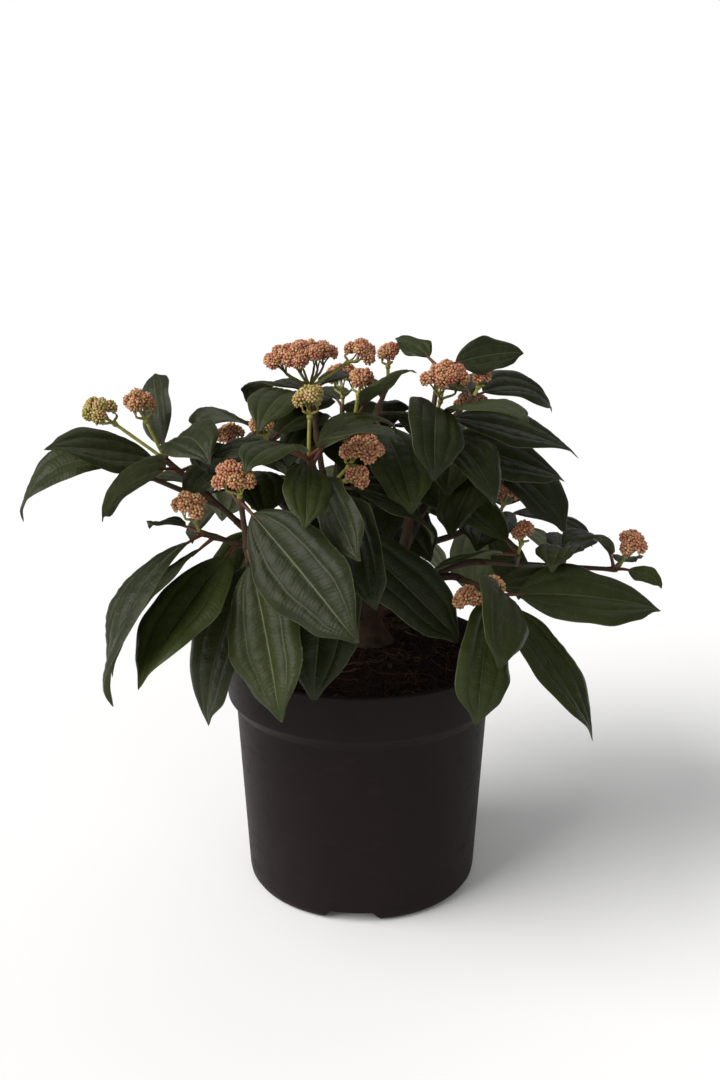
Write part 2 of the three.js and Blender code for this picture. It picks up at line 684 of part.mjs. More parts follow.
// A flower head: three bud clusters round the top of the stalk. The one wide head has a
// ring of clusters on rays that spread from a knuckle.
function headSolids(from, [x, y, z, radius]) {
  const kind = radius > WIDE_HEAD ? 'wide' : 'plain';
  const centre = new THREE.Vector3(x, y, z);
  const along = centre.clone().sub(from).normalize();
  const neck = centre.clone().addScaledVector(along, -radius * NECK_SHARE);
  const up = along.clone().lerp(new THREE.Vector3(0, 0, 1), 0.5).normalize();
  const side = new THREE.Vector3(1, 0, 0).cross(up).normalize();
  const front = up.clone().cross(side);
  const end = kind === 'wide' ? neck : centre;
  const pieces = [rod(new THREE.LineCurve3(from, end), () => STALK_RADIUS, STALK_SIDES, 1)];
  const spots = [];
  for (let i = 0; i < HEAD_CLUSTERS[kind]; i += 1) {
    const turn = radians((360 * (i + 1)) / HEAD_CLUSTERS[kind]);
    const spot = centre.clone();
    spot.addScaledVector(side, radius * CLUSTER_SPREAD[kind] * Math.cos(turn));
    spot.addScaledVector(front, radius * CLUSTER_SPREAD[kind] * Math.sin(turn));
    spots.push([spot, turn]);
  }
  if (kind === 'wide') {
    const knuckle = new THREE.IcosahedronGeometry(KNUCKLE_RADIUS, 0);
    pieces.push(solid(knuckle.translate(neck.x, neck.y, neck.z)));
    spots.push([centre, 0]);
  }
  for (const [spot, turn] of spots) {
    const cluster = new THREE.OctahedronGeometry(radius * CLUSTER_SHARE[kind], 0).rotateZ(turn);
    pieces.push(solid(cluster.translate(spot.x, spot.y, spot.z)));
    if (kind === 'wide') {
      const root = neck.clone().lerp(spot, (0.5 * KNUCKLE_RADIUS) / neck.distanceTo(spot));
      pieces.push(rod(new THREE.LineCurve3(root, spot), () => RAY_RADIUS, STALK_SIDES, 1));
    }
  }
  return pieces;
}

function massSolid(mass) {
  const pieces = [];
  mass.curves.forEach((curve, i) => {
    const first = i === 0 ? STEM_RADIUS : TWIG_RADIUS;
    pieces.push(rod(curve, tapering(first, TWIG_TIP_RADIUS), TWIG_SIDES, 1));
    const tip = curve.getPointAt(1);
    for (const head of mass.twigs[i].heads) pieces.push(...headSolids(tip, head));
  });
  pieces.push(...mass.grown.map(({ leaf }) => leafSolid(leaf)));
  const whole = pieces.reduce((joined, piece) => joined.add(piece));
  return whole.decompose().reduce((largest, body) => (
    body.volume() > largest.volume() ? body : largest
  ));
}

add('pot', potSolid(), 'pot');
add('soil', soilSolid(), 'soil');
add('trunk', trunkSolid(0), 'bark');
const trunkRoom = trunkSolid(GAP).add(trunkSolid(GAP).translate([0, 0, GAP]));
for (const mass of masses) {
  const { curve, radius, parent } = boughs.get(mass.name);
  const cut = mass.parent === 'trunk'
    ? trunkRoom
    : rod(parent.curve, (u) => parent.radius(u) + GAP, BOUGH_SIDES, BOUGH_STEPS);
  const bough = rod(curve, radius, BOUGH_SIDES, BOUGH_STEPS).subtract(cut);
  add(mass.name.replace('spray', 'bough'), bough, 'bark');
}
for (const mass of masses) add(mass.name, massSolid(mass), 'leaves');

export default plant;
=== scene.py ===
"""A small evergreen viburnum shrub in a round nursery pot.

Sizes here are millimetres, and a mesh is made in metres. The origin is the middle of the
pot's flat underside, +X runs to the right of the front view and +Y away from it. Twigs and
leaves grow by one rule from named sizes and seeds: each leaf takes its place only where it
clears the limbs, the flower heads and the leaves that grew before it.
"""

import json
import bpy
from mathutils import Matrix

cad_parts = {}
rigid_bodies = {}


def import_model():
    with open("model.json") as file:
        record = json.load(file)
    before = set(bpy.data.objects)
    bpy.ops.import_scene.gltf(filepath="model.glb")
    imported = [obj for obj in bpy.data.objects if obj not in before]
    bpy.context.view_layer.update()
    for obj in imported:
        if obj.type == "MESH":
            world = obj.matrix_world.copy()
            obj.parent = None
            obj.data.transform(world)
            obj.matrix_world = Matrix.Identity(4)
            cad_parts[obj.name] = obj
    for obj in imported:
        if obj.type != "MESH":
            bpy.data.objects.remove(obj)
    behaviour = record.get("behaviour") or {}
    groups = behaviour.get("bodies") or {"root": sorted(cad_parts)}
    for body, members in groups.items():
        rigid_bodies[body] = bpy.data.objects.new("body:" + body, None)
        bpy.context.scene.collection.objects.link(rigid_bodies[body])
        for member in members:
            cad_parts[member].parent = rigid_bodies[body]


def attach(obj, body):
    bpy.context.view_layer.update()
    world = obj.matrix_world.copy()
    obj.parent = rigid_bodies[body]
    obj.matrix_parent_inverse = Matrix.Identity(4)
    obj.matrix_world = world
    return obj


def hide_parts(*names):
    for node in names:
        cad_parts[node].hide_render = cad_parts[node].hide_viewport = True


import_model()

from types import SimpleNamespace

import bpy
import numpy as np
from mathutils import Vector

MM = 0.001
TURN = 2 * np.pi
UP = np.array([0.0, 0.0, 1.0])
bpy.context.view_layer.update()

# Pot
POT_HEIGHT = 171
RIM_RADIUS = 95
RIM_DEPTH = 39
RIM_CHAMFER = 8
BODY_TOP_RADIUS = 88.7
BODY_LOW_RADIUS = 81.8
CORNER_RADIUS = 7.6
POT_WALL = 2.2
DISC_RADIUS = 50
GROOVE_HEIGHT = 8
FOOT_RING_INNER = 72
NOTCH_COUNT = 3
NOTCH_TOP_WIDTH = 29
NOTCH_LOW_WIDTH = 41
NOTCH_TURN = -95
POT_SIDES = 240

# Soil, trunk and limbs
SOIL_EDGE = 160
SOIL_TOP = 173
SOIL_SEAT_RADIUS = 26
TRUNK_FOOT = (6, 4)
TRUNK_TOP = (2, 0, 217)
TRUNK_FOOT_UPRIGHT = 12
TRUNK_TOP_UPRIGHT = 14
TRUNK_FOOT_RADIUS = 17
TRUNK_WAIST_RADIUS = 10.5
TRUNK_TOP_RADIUS = 7.5
FLARE_END = 0.35
BOUGH_FOOT_RADIUS = 4.8
BOUGH_TIP_RADIUS = 2.4
FORK_SHARE = 0.75
FORK_RISE = {"trunk": 0.8, "bough": 0.6}
FORK_SWEEP = 0.35
TIP_SWEEP = 0.3
STEM_RADIUS = 2.2
TWIG_RADIUS = 1.8
PETIOLE_RADIUS = 1.2
STALK_RADIUS = 1.2
RAY_RADIUS = 0.8
GAP = 0.3
CURVE_CHORDS = 200

# Flower heads: a head over the wide radius is a flat plate, the others are domes. Leaves may
# grow into the hollow under a wide one.
WIDE_HEAD = 20
WIDE_HEAD_HOLLOW = 4
NECK_SHARE = 0.9

# Leaf
PETIOLE_LENGTH = 12
LEAF_WIDTH_SHARE = 0.45
LEAF_FOLD = np.radians(14)
BLADE_LOW_POWER = 0.7
BLADE_TIP_POWER = 0.8
BLADE_SCALE = 0.3504

# The rule that sets opposite pairs of leaves up a twig: middle value and spread of each draw
PAIR_TOP = 0.96
PAIR_STEP = 0.24
PAIR_TURN = 90
PAIR_DROOP = 12
RULE_TURN = (45, 30)
RULE_RISE = (22, 20)
RULE_BEND = (45, 30)
RULE_LENGTH = (100, 22)
RULE_ROLL = (0, 20)
FIRST_SEED = 101
SEED_STEP = 37

# The dome that the leaves set by the rule keep inside
DOME_CENTRE = np.array([-4, 40, 215])
DOME_RADII = np.array([150, 175, 165])

# How close a leaf may come to another mass's leaf, one of its own mass, a limb and the pot's
# rim. What lies within the search margin of that is tested, against a blade that is given a
# least half width and a little more length, and the limbs are tested as strings of balls.
LEAF_CLEARANCE = 2.8
SISTER_CLEARANCE = 1.6
LIMB_CLEARANCE = 1.4
RIM_CLEARANCE = 2
RIM_CLEARANCE_ABOVE = 4
SEARCH_MARGIN = 1
LEAST_HALF_WIDTH = 1.5
TIP_MARGIN = 0.03
BALL_STEP = 4

# Samples on a blade, the rows by its root that may touch a leaf or a limb of its own mass, and
# the turns in degrees by which a leaf gives way
SAMPLES_ALONG = 20
SAMPLES_ACROSS = np.linspace(-1, 1, 9)
SISTER_ROOT_ROWS = 3
LIMB_ROOT_ROWS = 5
LIMB_ROOT_SHARE = 0.3
GIVE_RISE = (0, 4, -4, 8, -8, 12, -12, 16, -16, 20, -20, 25, -25)
GIVE_TURN = (0, 9, -9, 18, -18, 27, -27)

# The factor and the modulus of the minimal standard generator
STREAM_FACTOR = 16807
STREAM_MODULUS = 2147483647


def foliage(name, parent, leaves, foot, *twigs):
    """One mass: its bough's parent, the share at which that bough leaves it, the bough's tip
    and the mass's twigs, of which the first is its stem."""
    return SimpleNamespace(name=name, parent=parent, leaves=leaves, foot=np.array(foot, float),
                           twigs=twigs, grown=[])


def shoot(parting, tip, heads, pairs, posed):
    """One twig: the share of the stem where it parts, its tip, its flower heads as
    (x, y, z, radius), how many pairs of leaves the rule sets, and its posed leaves as
    (share of the twig, turn, rise, bend, length, roll)."""
    return SimpleNamespace(parting=parting, tip=np.array(tip, float), heads=heads,
                           pairs=pairs, posed=posed)


# The masses that the front view shows, from the left to the right, and then the back ones
masses = [
    foliage("left_low", "trunk", 0.36, (-58, -46, 252),
            shoot(0, (-103, -65, 272), [(-108, -70, 290, 12)], 0, [
                (0.95, 227, -8, 85, 136, 23), (0.8, 192, -26, 35, 115, 20),
                (0.5, 237, -21, 16, 120, 2), (1, 150, 20, 45, 45, 0), (0.2, 229, -46, 40, 122, 5),
            ])),
    foliage("left", "left_low", 0.55, (-84, -22, 268),
            shoot(0, (-128, -32, 312), [(-144, -30, 347, 12), (-170, -25, 341, 13)], 0, [
                (0.95, 220, 20, 10, 90, -35), (1, 105, 48, 15, 75, -60),
                (0.85, 242, 20, 55, 86, 55), (1, 301, 45, 85, 84, 25), (0.8, 50, 15, 50, 105, 10),
                (0.6, 140, 5, 45, 95, 0), (0.4, 90, 0, 50, 90, 0),
            ]),
            shoot(0.25, (-143, -38, 304), [], 0, [
                (1, 193, 40, 120, 100, -15),
            ])),
    foliage("front_left", "left_low", 0.6, (-71, -78, 256),
            shoot(0, (-74, -94, 302), [(-77, -98, 315, 14)], 0, [
                (0.95, 315, -30, 5, 120, 60), (0.25, 292, -48, 10, 113, 42),
                (0.9, 165, 62, 12, 50, 20),
            ])),
    foliage("front", "top_left", 0.45, (-20, -42, 262),
            shoot(0, (-18, -62, 304), [(0, -70, 325, 15), (-4, -74, 309, 9)], 0, [
                (0.9, 21, 0, 65, 90, 23), (0.3, 340, -35, 10, 113, 25), (0.6, 291, 8, 85, 95, 70),
                (0.25, 262, -45, 35, 120, 0),
            ]),
            shoot(0.45, (-33, -75, 323), [(-32, -72, 358, 11)], 0, [
                (0.95, 270, -15, 45, 70, -20), (0.75, 291, -20, 10, 84, 70),
                (0.9, 236, 45, 75, 75, 0), (1, 320, 42, 50, 78, 0), (0.85, 35, 60, 105, 80, 0),
                (0.95, 185, 35, 60, 66, 0),
            ])),
    foliage("top_left", "trunk", 0.74, (-27, -2, 298),
            shoot(0, (-35, 8, 352), [(-42, 8, 373, 27), (-1, 15, 374, 12)], 0, [
                (0.9, 133, 22, 62, 75, 0), (0.95, 50, 42, 75, 84, 0), (0.7, 249, 45, 94, 92, 0),
                (0.7, 100, 10, 45, 100, 0), (0.4, 5, 5, 40, 85, 0),
            ]),
            shoot(0.2, (-62, -14, 320), [(-66, -20, 331, 9)], 1, [
                (0.9, 128, 17, 49, 103, 25), (0.8, 215, 5, 50, 80, 0),
            ])),
    foliage("top", "top_right", 0.7, (6, -4, 306),
            shoot(0, (-5, -25, 338), [(-1, -25, 362, 10)], 0, [
                (0.95, 312, 45, 45, 62, 0), (0.8, 355, 30, 60, 70, 0),
            ]),
            shoot(0.4, (18, 36, 350), [(18, 38, 370, 9)], 1, [
                (0.6, 100, 0, 45, 105, 0), (0.5, 55, -5, 40, 95, 0), (0.4, 290, -15, 40, 92, 0),
            ])),
    foliage("top_right", "trunk", 0.7, (38, -2, 300),
            shoot(0, (50, -10, 340), [(55, -15, 361, 17)], 0, [
                (1, 264, 27, 100, 90, -29), (0.9, 357, -3, 22, 100, 20), (0.85, 312, 15, 48, 88, 0),
                (0.5, 9, -12, 13, 103, 36), (0.4, 302, 32, 96, 88, 5),
            ]),
            shoot(0.4, (76, 20, 344), [(82, 22, 356, 7)], 1, [
                (0.95, 39, 22, 66, 88, 26),
            ]),
            shoot(0.6, (52, 17, 364), [], 0, [
                (1, 130, 26, 20, 46, -20), (1, 10, 19, 24, 61, 54),
            ])),
    foliage("right_front", "trunk", 0.36, (66, -30, 230),
            shoot(0, (91, -60, 228), [(67, -78, 232, 10), (84, -70, 237, 9)], 0, [
                (0.95, 9, 0, 14, 112, 36), (0.9, 253, -12, 66, 98, -54), (1, 263, 35, 96, 94, -46),
                (0.85, 317, -35, 19, 113, -5), (0.5, 16, 8, 12, 118, 17),
            ])),
    foliage("right", "right_front", 0.55, (84, 8, 230),
            shoot(0, (178, 6, 225), [(186, 0, 245, 12)], 0, [
                (0.97, 60, 15, 40, 45, 0), (0.6, 256, 64, 100, 70, 0), (0.97, 220, 80, 112, 64, 0),
                (0.6, 75, 25, 60, 85, 0), (0.97, 320, 20, 60, 39, 20),
            ]),
            shoot(0.25, (107, -5, 240), [(111, -5, 255, 9)], 1, [
                (0.9, 200, 10, 50, 80, 20),
            ])),
    foliage("back_left", "trunk", 0.52, (-58, 46, 262),
            shoot(0, (-92, 66, 290), [(-96, 70, 306, 12)], 3, []),
            shoot(0.3, (-78, 92, 270), [], 3, [])),
    foliage("back", "back_left", 0.55, (-18, 66, 284),
            shoot(0, (-14, 88, 326), [(-14, 92, 345, 15)], 3, []),
            shoot(0.35, (-42, 74, 318), [], 2, []),
            shoot(0.35, (14, 84, 312), [], 2, [])),
    foliage("back_right", "trunk", 0.54, (52, 52, 272),
            shoot(0, (76, 72, 310), [(80, 76, 328, 14)], 3, []),
            shoot(0.3, (98, 46, 300), [], 3, [])),
    foliage("low_back_left", "back_left", 0.35, (-52, 84, 222),
            shoot(0, (-78, 112, 232), [(-82, 118, 246, 10)], 3, [])),
    foliage("low_back", "trunk", 0.36, (8, 88, 226),
            shoot(0, (6, 122, 244), [(6, 128, 260, 12)], 1, [
                (0.95, 60, 20, 50, 100, 0), (0.95, 122, 20, 50, 105, 0), (0.95, 0, 10, 50, 90, 0),
                (0.95, 185, 10, 50, 90, 0), (0.6, 90, -5, 50, 110, 0), (0.5, 35, -18, 45, 98, 0),
                (0.5, 148, -18, 45, 100, 0),
            ])),
    foliage("low_back_right", "low_back", 0.5, (76, 86, 230),
            shoot(0, (106, 102, 240), [(111, 106, 254, 10)], 1, [
                (0.95, 70, 20, 50, 100, 0), (0.95, 128, 15, 50, 95, 0), (0.9, 350, 5, 55, 80, 0),
                (0.6, 30, -8, 50, 95, 0), (0.5, 100, -12, 50, 100, 0), (0.6, 300, -30, 30, 70, 0),
            ])),
]


# Curves that limbs follow

def unit(vector):
    return vector / np.linalg.norm(vector, axis=-1, keepdims=True)


class Line:
    """A straight run from start to end, read by share of its length."""

    def __init__(self, start, end):
        self.start, self.end = start, end
        self.length = np.linalg.norm(end - start)

    def at(self, share):
        return self.start + (self.end - self.start) * np.asarray(share, float)[..., None]


class Bend:
    """A cubic Bezier curve read by share of its length, which is summed over its chords."""

    def __init__(self, *controls):
        self.controls = np.array(controls, float)
        self.times = np.linspace(0, 1, CURVE_CHORDS + 1)
        chords = np.linalg.norm(np.diff(self.along(self.times), axis=0), axis=1)
        self.lengths = np.concatenate([[0], np.cumsum(chords)])
        self.length = self.lengths[-1]

    def along(self, time):
        """Four controls weighted (1-t)^3, 3(1-t)^2 t, 3(1-t) t^2 and t^3."""
        t = np.asarray(time, float)[..., None]
        first, second, third, last = self.controls
        near = (1 - t) ** 3 * first + 3 * (1 - t) ** 2 * t * second
        return near + 3 * (1 - t) * t ** 2 * third + t ** 3 * last

    def at(self, share):
        return self.along(np.interp(np.asarray(share) * self.length, self.lengths, self.times))


trunk_curve = Bend((*TRUNK_FOOT, SOIL_TOP + GAP), (*TRUNK_FOOT, SOIL_TOP + TRUNK_FOOT_UPRIGHT),
                   TRUNK_TOP - UP * TRUNK_TOP_UPRIGHT, TRUNK_TOP)


def tapering(first, last):
    """A radius that changes in a straight line along a limb."""
    return lambda along: first + (last - first) * np.asarray(along)


def trunk_radius(along):
    """A straight taper plus a root flare, which falls as the square of the way left to its end."""
    fall = np.maximum(0, 1 - np.asarray(along) / FLARE_END) ** 2
    flare = (TRUNK_FOOT_RADIUS - TRUNK_WAIST_RADIUS) * fall
    return flare + tapering(TRUNK_WAIST_RADIUS, TRUNK_TOP_RADIUS)(along)


def bough_of(mass, boughs):
    """The bough leaves its parent outward and upward and ends in line with the mass's stem."""
    from_trunk = mass.parent == "trunk"
    parent_curve, parent_radius = boughs[mass.parent]
    start = parent_curve.at(mass.leaves)
    onward = unit(mass.twigs[0].tip - mass.foot)
    span = np.linalg.norm(mass.foot - start)
    outward = unit((mass.foot - start) * (1, 1, 0))
    outward = outward + UP * FORK_RISE["trunk" if from_trunk else "bough"]
    curve = Bend(start, start + outward * span * FORK_SWEEP,
                 mass.foot - onward * span * TIP_SWEEP, mass.foot)
    first = BOUGH_FOOT_RADIUS if from_trunk else parent_radius(mass.leaves) * FORK_SHARE
    return curve, tapering(first, BOUGH_TIP_RADIUS)


limbs = {"trunk": (trunk_curve, trunk_radius)}
for mass in sorted(masses, key=lambda mass: mass.parent != "trunk"):
    limbs[mass.name] = bough_of(mass, limbs)


def twig_curves(mass):
    """The stem from foot to tip, and each further twig from its parting to its tip."""
    tip = mass.twigs[0].tip
    stem = Line(mass.foot + unit(tip - mass.foot) * GAP, tip)
    others = [Line(mass.foot + (tip - mass.foot) * twig.parting, twig.tip)
              for twig in mass.twigs[1:]]
    return [stem, *others]


# Leaves as arcs in space

def leaf_at(start, turn, rise, bend, length, roll):
    """A petiole and blade on one arc in the upright plane of its compass turn. The arc
    starts at its rise above level and curls down by its bend; the roll tips the blade."""
    turn, rise, bend, roll = np.radians([turn, rise, bend, roll])
    heading = np.array([np.cos(turn), np.sin(turn), 0])
    leaf = SimpleNamespace(start=start, heading=heading, length=length, rise=rise, bend=bend,
                           across=np.array([-heading[1], heading[0], 0]), roll=roll,
                           root=PETIOLE_LENGTH / length)
    leaf.middle = on_leaf(leaf, 0.5, 0, 0)
    return leaf


def on_leaf(leaf, s, sideways, lifted):
    """The point at share s of the arc, moved sideways and off the blade: the arc is a circle
    of radius length / bend, and the roll turns the two offsets about it."""
    s, sideways, lifted = np.broadcast_arrays(s, sideways, lifted)
    slope = leaf.rise - leaf.bend * s
    reach = leaf.length / leaf.bend
    left = np.cos(leaf.roll) * sideways - np.sin(leaf.roll) * lifted
    high = np.sin(leaf.roll) * sideways + np.cos(leaf.roll) * lifted
    out = reach * (np.sin(leaf.rise) - np.sin(slope)) - np.sin(slope) * high
    up = reach * (np.cos(slope) - np.cos(leaf.rise)) + np.cos(slope) * high
    return (leaf.start + out[..., None] * leaf.heading + left[..., None] * leaf.across
            + up[..., None] * UP)


def place_on_leaf(leaf, spots):
    """The share, sideways and height off the blade of places in space: on_leaf undone."""
    away = spots - leaf.start
    reach = leaf.length / leaf.bend
    way = np.sign(reach)
    out = away @ leaf.heading - reach * np.sin(leaf.rise)
    up = away[..., 2] + reach * np.cos(leaf.rise)
    slope = np.arctan2(-way * out, way * up)
    off = way * np.hypot(out, up) - reach
    left = away @ leaf.across
    return ((leaf.rise - slope) / leaf.bend,
            np.cos(leaf.roll) * left + np.sin(leaf.roll) * off,
            -np.sin(leaf.roll) * left + np.cos(leaf.roll) * off)


def blade_share(x):
    """How wide the blade is at share x of its length, as a share of its greatest width:
    x^0.7 (1 - x)^0.8, scaled to about 1 at its peak."""
    x = np.clip(x, 0, 1)
    return x ** BLADE_LOW_POWER * (1 - x) ** BLADE_TIP_POWER / BLADE_SCALE


def half_width(leaf, s):
    """Half the blade's width at share s of the arc, which the petiole's share comes before."""
    return leaf.length * LEAF_WIDTH_SHARE * blade_share((s - leaf.root) / (1 - leaf.root)) / 2


def samples_of(leaf):
    """Rows of places over the folded blade, from its root to its tip."""
    s = leaf.root + (1 - leaf.root) * np.arange(SAMPLES_ALONG + 1)[:, None] / SAMPLES_ALONG
    wide = SAMPLES_ACROSS * half_width(leaf, s)
    spots = on_leaf(leaf, s, wide * np.cos(LEAF_FOLD), np.abs(wide) * np.sin(LEAF_FOLD))
    return spots.reshape(-1, 3)


# Where a leaf has room to grow

def is_near(leaf, spots, distance):
    """True for the places that lie within reach of a leaf, as a ball round its middle."""
    return np.sum((spots - leaf.middle) ** 2, axis=-1) < (leaf.length / 2 + distance) ** 2


def touches(leaf, spots, clearance):
    """True if any of the places lies closer to the folded blade than the clearance."""
    s, sideways, lifted = place_on_leaf(leaf, spots[is_near(leaf, spots, clearance + SEARCH_MARGIN)])
    wide = np.maximum(half_width(leaf, np.minimum(s, 1)) * np.cos(LEAF_FOLD), LEAST_HALF_WIDTH)
    beyond = np.maximum(np.abs(sideways) - wide, 0)
    lift = np.minimum(np.abs(sideways), wide) * np.tan(LEAF_FOLD)
    close = np.hypot(beyond, lifted - lift) < clearance
    return np.any((s >= 0) & (s <= 1 + TIP_MARGIN) & close)


def hits_limb(leaf, spots, mass, balls):
    """True if the blade meets a ball of a limb. By its root it may touch its own mass."""
    near = balls.radii + LIMB_CLEARANCE
    chosen = is_near(leaf, balls.spots, near + SEARCH_MARGIN)
    own = balls.owners[chosen] == mass.name
    near, centres = near[chosen], balls.spots[chosen]
    apart = np.linalg.norm(spots[:, None] - centres, axis=2) < near
    own_root = own & (np.arange(len(spots))[:, None] < LIMB_ROOT_ROWS * len(SAMPLES_ACROSS))
    if np.any(apart & ~own_root):
        return True
    s, sideways, lifted = place_on_leaf(leaf, centres)
    inside = (s > LIMB_ROOT_SHARE) & (s < 1) & (np.abs(sideways) < half_width(leaf, s))
    return np.any(inside & (np.abs(lifted) < near))


def is_free(leaf, spots, mass, balls):
    """A leaf is free if it clears the pot, the limbs, the heads and the other leaves."""
    within_rim = np.hypot(spots[:, 0], spots[:, 1]) < RIM_RADIUS + RIM_CLEARANCE
    low = spots[:, 2] < POT_HEIGHT + RIM_CLEARANCE_ABOVE
    if np.any(within_rim & low) or hits_limb(leaf, spots, mass, balls):
        return False
    for other in masses:
        skip = SISTER_ROOT_ROWS * len(SAMPLES_ACROSS) if other is mass else 0
        clearance = SISTER_CLEARANCE if other is mass else LEAF_CLEARANCE
        for grown, grown_spots in other.grown:
            if not is_near(leaf, grown.middle, grown.length / 2 + clearance + SEARCH_MARGIN):
                continue
            if touches(grown, spots[skip:], clearance):
                return False
            if touches(leaf, grown_spots[skip:], clearance):
                return False
    return True


def leaves_dome(leaf):
    """True if a leaf's tip lies outside the ellipsoid of the dome."""
    return np.linalg.norm((on_leaf(leaf, 1, 0, 0) - DOME_CENTRE) / DOME_RADII) > 1


def grow(mass, curve, pose, balls, bounded=False):
    """Grows a leaf where it is meant to be, or turned a few degrees aside, up or down where
    it would touch something. With no room at all it is left out."""
    share, turn, rise, bend, length, roll = pose
    start = curve.at(share)
    for aside in GIVE_TURN:
        for up in GIVE_RISE:
            leaf = leaf_at(start, turn + aside, rise + up, bend, length, roll)
            spots = samples_of(leaf)
            if bounded and leaves_dome(leaf):
                continue
            if is_free(leaf, spots, mass, balls):
                mass.grown.append((leaf, spots))
                return


def string_balls():
    """Balls strung along every limb, twig and stalk, and one for each head."""
    spots, radii, owners = [], [], []

    def string(curve, radius, owner):
        """Strings balls of a changing radius along one curve."""
        along = np.linspace(0, 1, int(np.ceil(curve.length / BALL_STEP)) + 1)
        spots.extend(curve.at(along))
        radii.extend(radius(along))
        owners.extend([owner] * len(along))

    for name, (curve, radius) in limbs.items():
        string(curve, radius, "bough of " + name)
    for mass in masses:
        for curve, twig in zip(mass.curves, mass.twigs):
            string(curve, tapering(STEM_RADIUS, STEM_RADIUS), mass.name)
            for *centre, radius in twig.heads:
                stalk = Line(curve.end, np.array(centre, float))
                string(stalk, tapering(RAY_RADIUS, RAY_RADIUS), mass.name)
                spots.append(stalk.end)
                radii.append(min(radius, WIDE_HEAD - WIDE_HEAD_HOLLOW))
                owners.append(mass.name)
    return SimpleNamespace(spots=np.array(spots), radii=np.array(radii),
                           owners=np.array(owners))


def stream(seed):
    """One seeded stream of numbers from 0 to 1."""
    state = seed
    while True:
        state = state * STREAM_FACTOR % STREAM_MODULUS
        yield state / STREAM_MODULUS


def grow_all():
    """Posed leaves first, mass by mass, and then the pairs that the rule sets."""
    for mass in masses:
        mass.curves = twig_curves(mass)
    balls = string_balls()
    for mass in masses:
        for curve, twig in zip(mass.curves, mass.twigs):
            for pose in twig.posed:
                grow(mass, curve, pose, balls)
    for number, mass in enumerate(masses):
        draws = stream(FIRST_SEED + SEED_STEP * number)
        for curve, twig in zip(mass.curves, mass.twigs):
            along = curve.end - curve.start
            heading = np.degrees(np.arctan2(along[1], along[0]))
            for pair in range(twig.pairs):
                for side in (0, 180):
                    turn, rise, bend, length, roll = (
                        middle + spread * (next(draws) - 0.5) for middle, spread
                        in (RULE_TURN, RULE_RISE, RULE_BEND, RULE_LENGTH, RULE_ROLL))
                    pose = (PAIR_TOP - PAIR_STEP * pair, heading + PAIR_TURN * pair + side + turn,
                            rise - PAIR_DROOP * pair, bend, length, roll)
                    grow(mass, curve, pose, balls, bounded=True)


grow_all()


# Meshes from arrays

# The radius at which a turned profile starts from its axis, and a direction that sets how a
# copied shape is turned about its own axis
POLE_RADIUS = 0.5
SKEW = (0.37, 0.83, 0.41)


class Piece:
    """One mesh, grown patch by patch: places, faces of three or four corners, the number of
    each face's finish and the pattern place (u, v) of each vertex, in millimetres."""

    def __init__(self, name):
        self.name = name
        self.spots, self.patterns, self.faces, self.finishes = [], [], [], []
        self.count = 0

    def add(self, spots, faces, finishes, pattern=None):
        """Adds a patch. Faces and finishes are given in groups, one for each count of corners,
        and a finish is one number or one for each face of its group."""
        spots = np.reshape(spots, (-1, 3))
        if pattern is None:
            pattern = np.zeros((len(spots), 2))
        self.spots.append(spots)
        self.patterns.append(np.reshape(pattern, (-1, 2)))
        for corners, finish in zip(faces, finishes):
            self.faces.append(np.asarray(corners) + self.count)
            self.finishes.append(np.broadcast_to(finish, len(corners)))
        self.count += len(spots)

    def build(self, materials, sharp=None):
        """Makes the mesh in metres, smooth but for edges over the sharp angle."""
        mesh = bpy.data.meshes.new(self.name)
        corners = np.concatenate([face.ravel() for face in self.faces]).astype(np.int32)
        sizes = np.concatenate([np.full(len(face), face.shape[1]) for face in self.faces])
        starts = np.concatenate([[0], np.cumsum(sizes)[:-1]]).astype(np.int32)
        mesh.vertices.add(self.count)
        mesh.vertices.foreach_set("co", (np.concatenate(self.spots) * MM).ravel())
        mesh.loops.add(len(corners))
        mesh.loops.foreach_set("vertex_index", corners)
        mesh.polygons.add(len(sizes))
        mesh.polygons.foreach_set("loop_start", starts)
        for material in materials:
            mesh.materials.append(material)
        mesh.polygons.foreach_set("material_index",
                                  np.concatenate(self.finishes).astype(np.int32))
        layer = mesh.uv_layers.new(name="pattern")
        layer.data.foreach_set("uv", np.concatenate(self.patterns)[corners].ravel())
        mesh.update(calc_edges=True)
        mesh.shade_smooth()
        if sharp is not None:
            mesh.set_sharp_from_angle(angle=sharp)
        made = bpy.data.objects.new(self.name, mesh)
        bpy.context.scene.collection.objects.link(made)
        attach(made, "root")
        return made


def sleeve_faces(rows, columns):
    """Faces of a closed sleeve of rows of vertices, wrapped round, with a fan over each end
    from a last and a last but one vertex: quads first and then triangles, facing out."""
    row, column = np.mgrid[0:rows - 1, 0:columns]
    after = (column + 1) % columns
    quads = np.stack([row * columns + column, row * columns + after,
                      (row + 1) * columns + after, (row + 1) * columns + column], axis=-1)
    ring = np.arange(columns)
    after = (ring + 1) % columns
    low = np.stack([np.full(columns, rows * columns), after, ring], axis=-1)
    top = (rows - 1) * columns
    high = np.stack([np.full(columns, rows * columns + 1), top + ring, top + after], axis=-1)
    return quads.reshape(-1, 4), np.concatenate([low, high])


def sleeve(rings):
    """The vertices of a sleeve: its rings, then the middle of the first and of the last."""
    middles = np.stack([rings[0].mean(axis=0), rings[-1].mean(axis=0)])
    return np.concatenate([rings.reshape(-1, 3), middles])


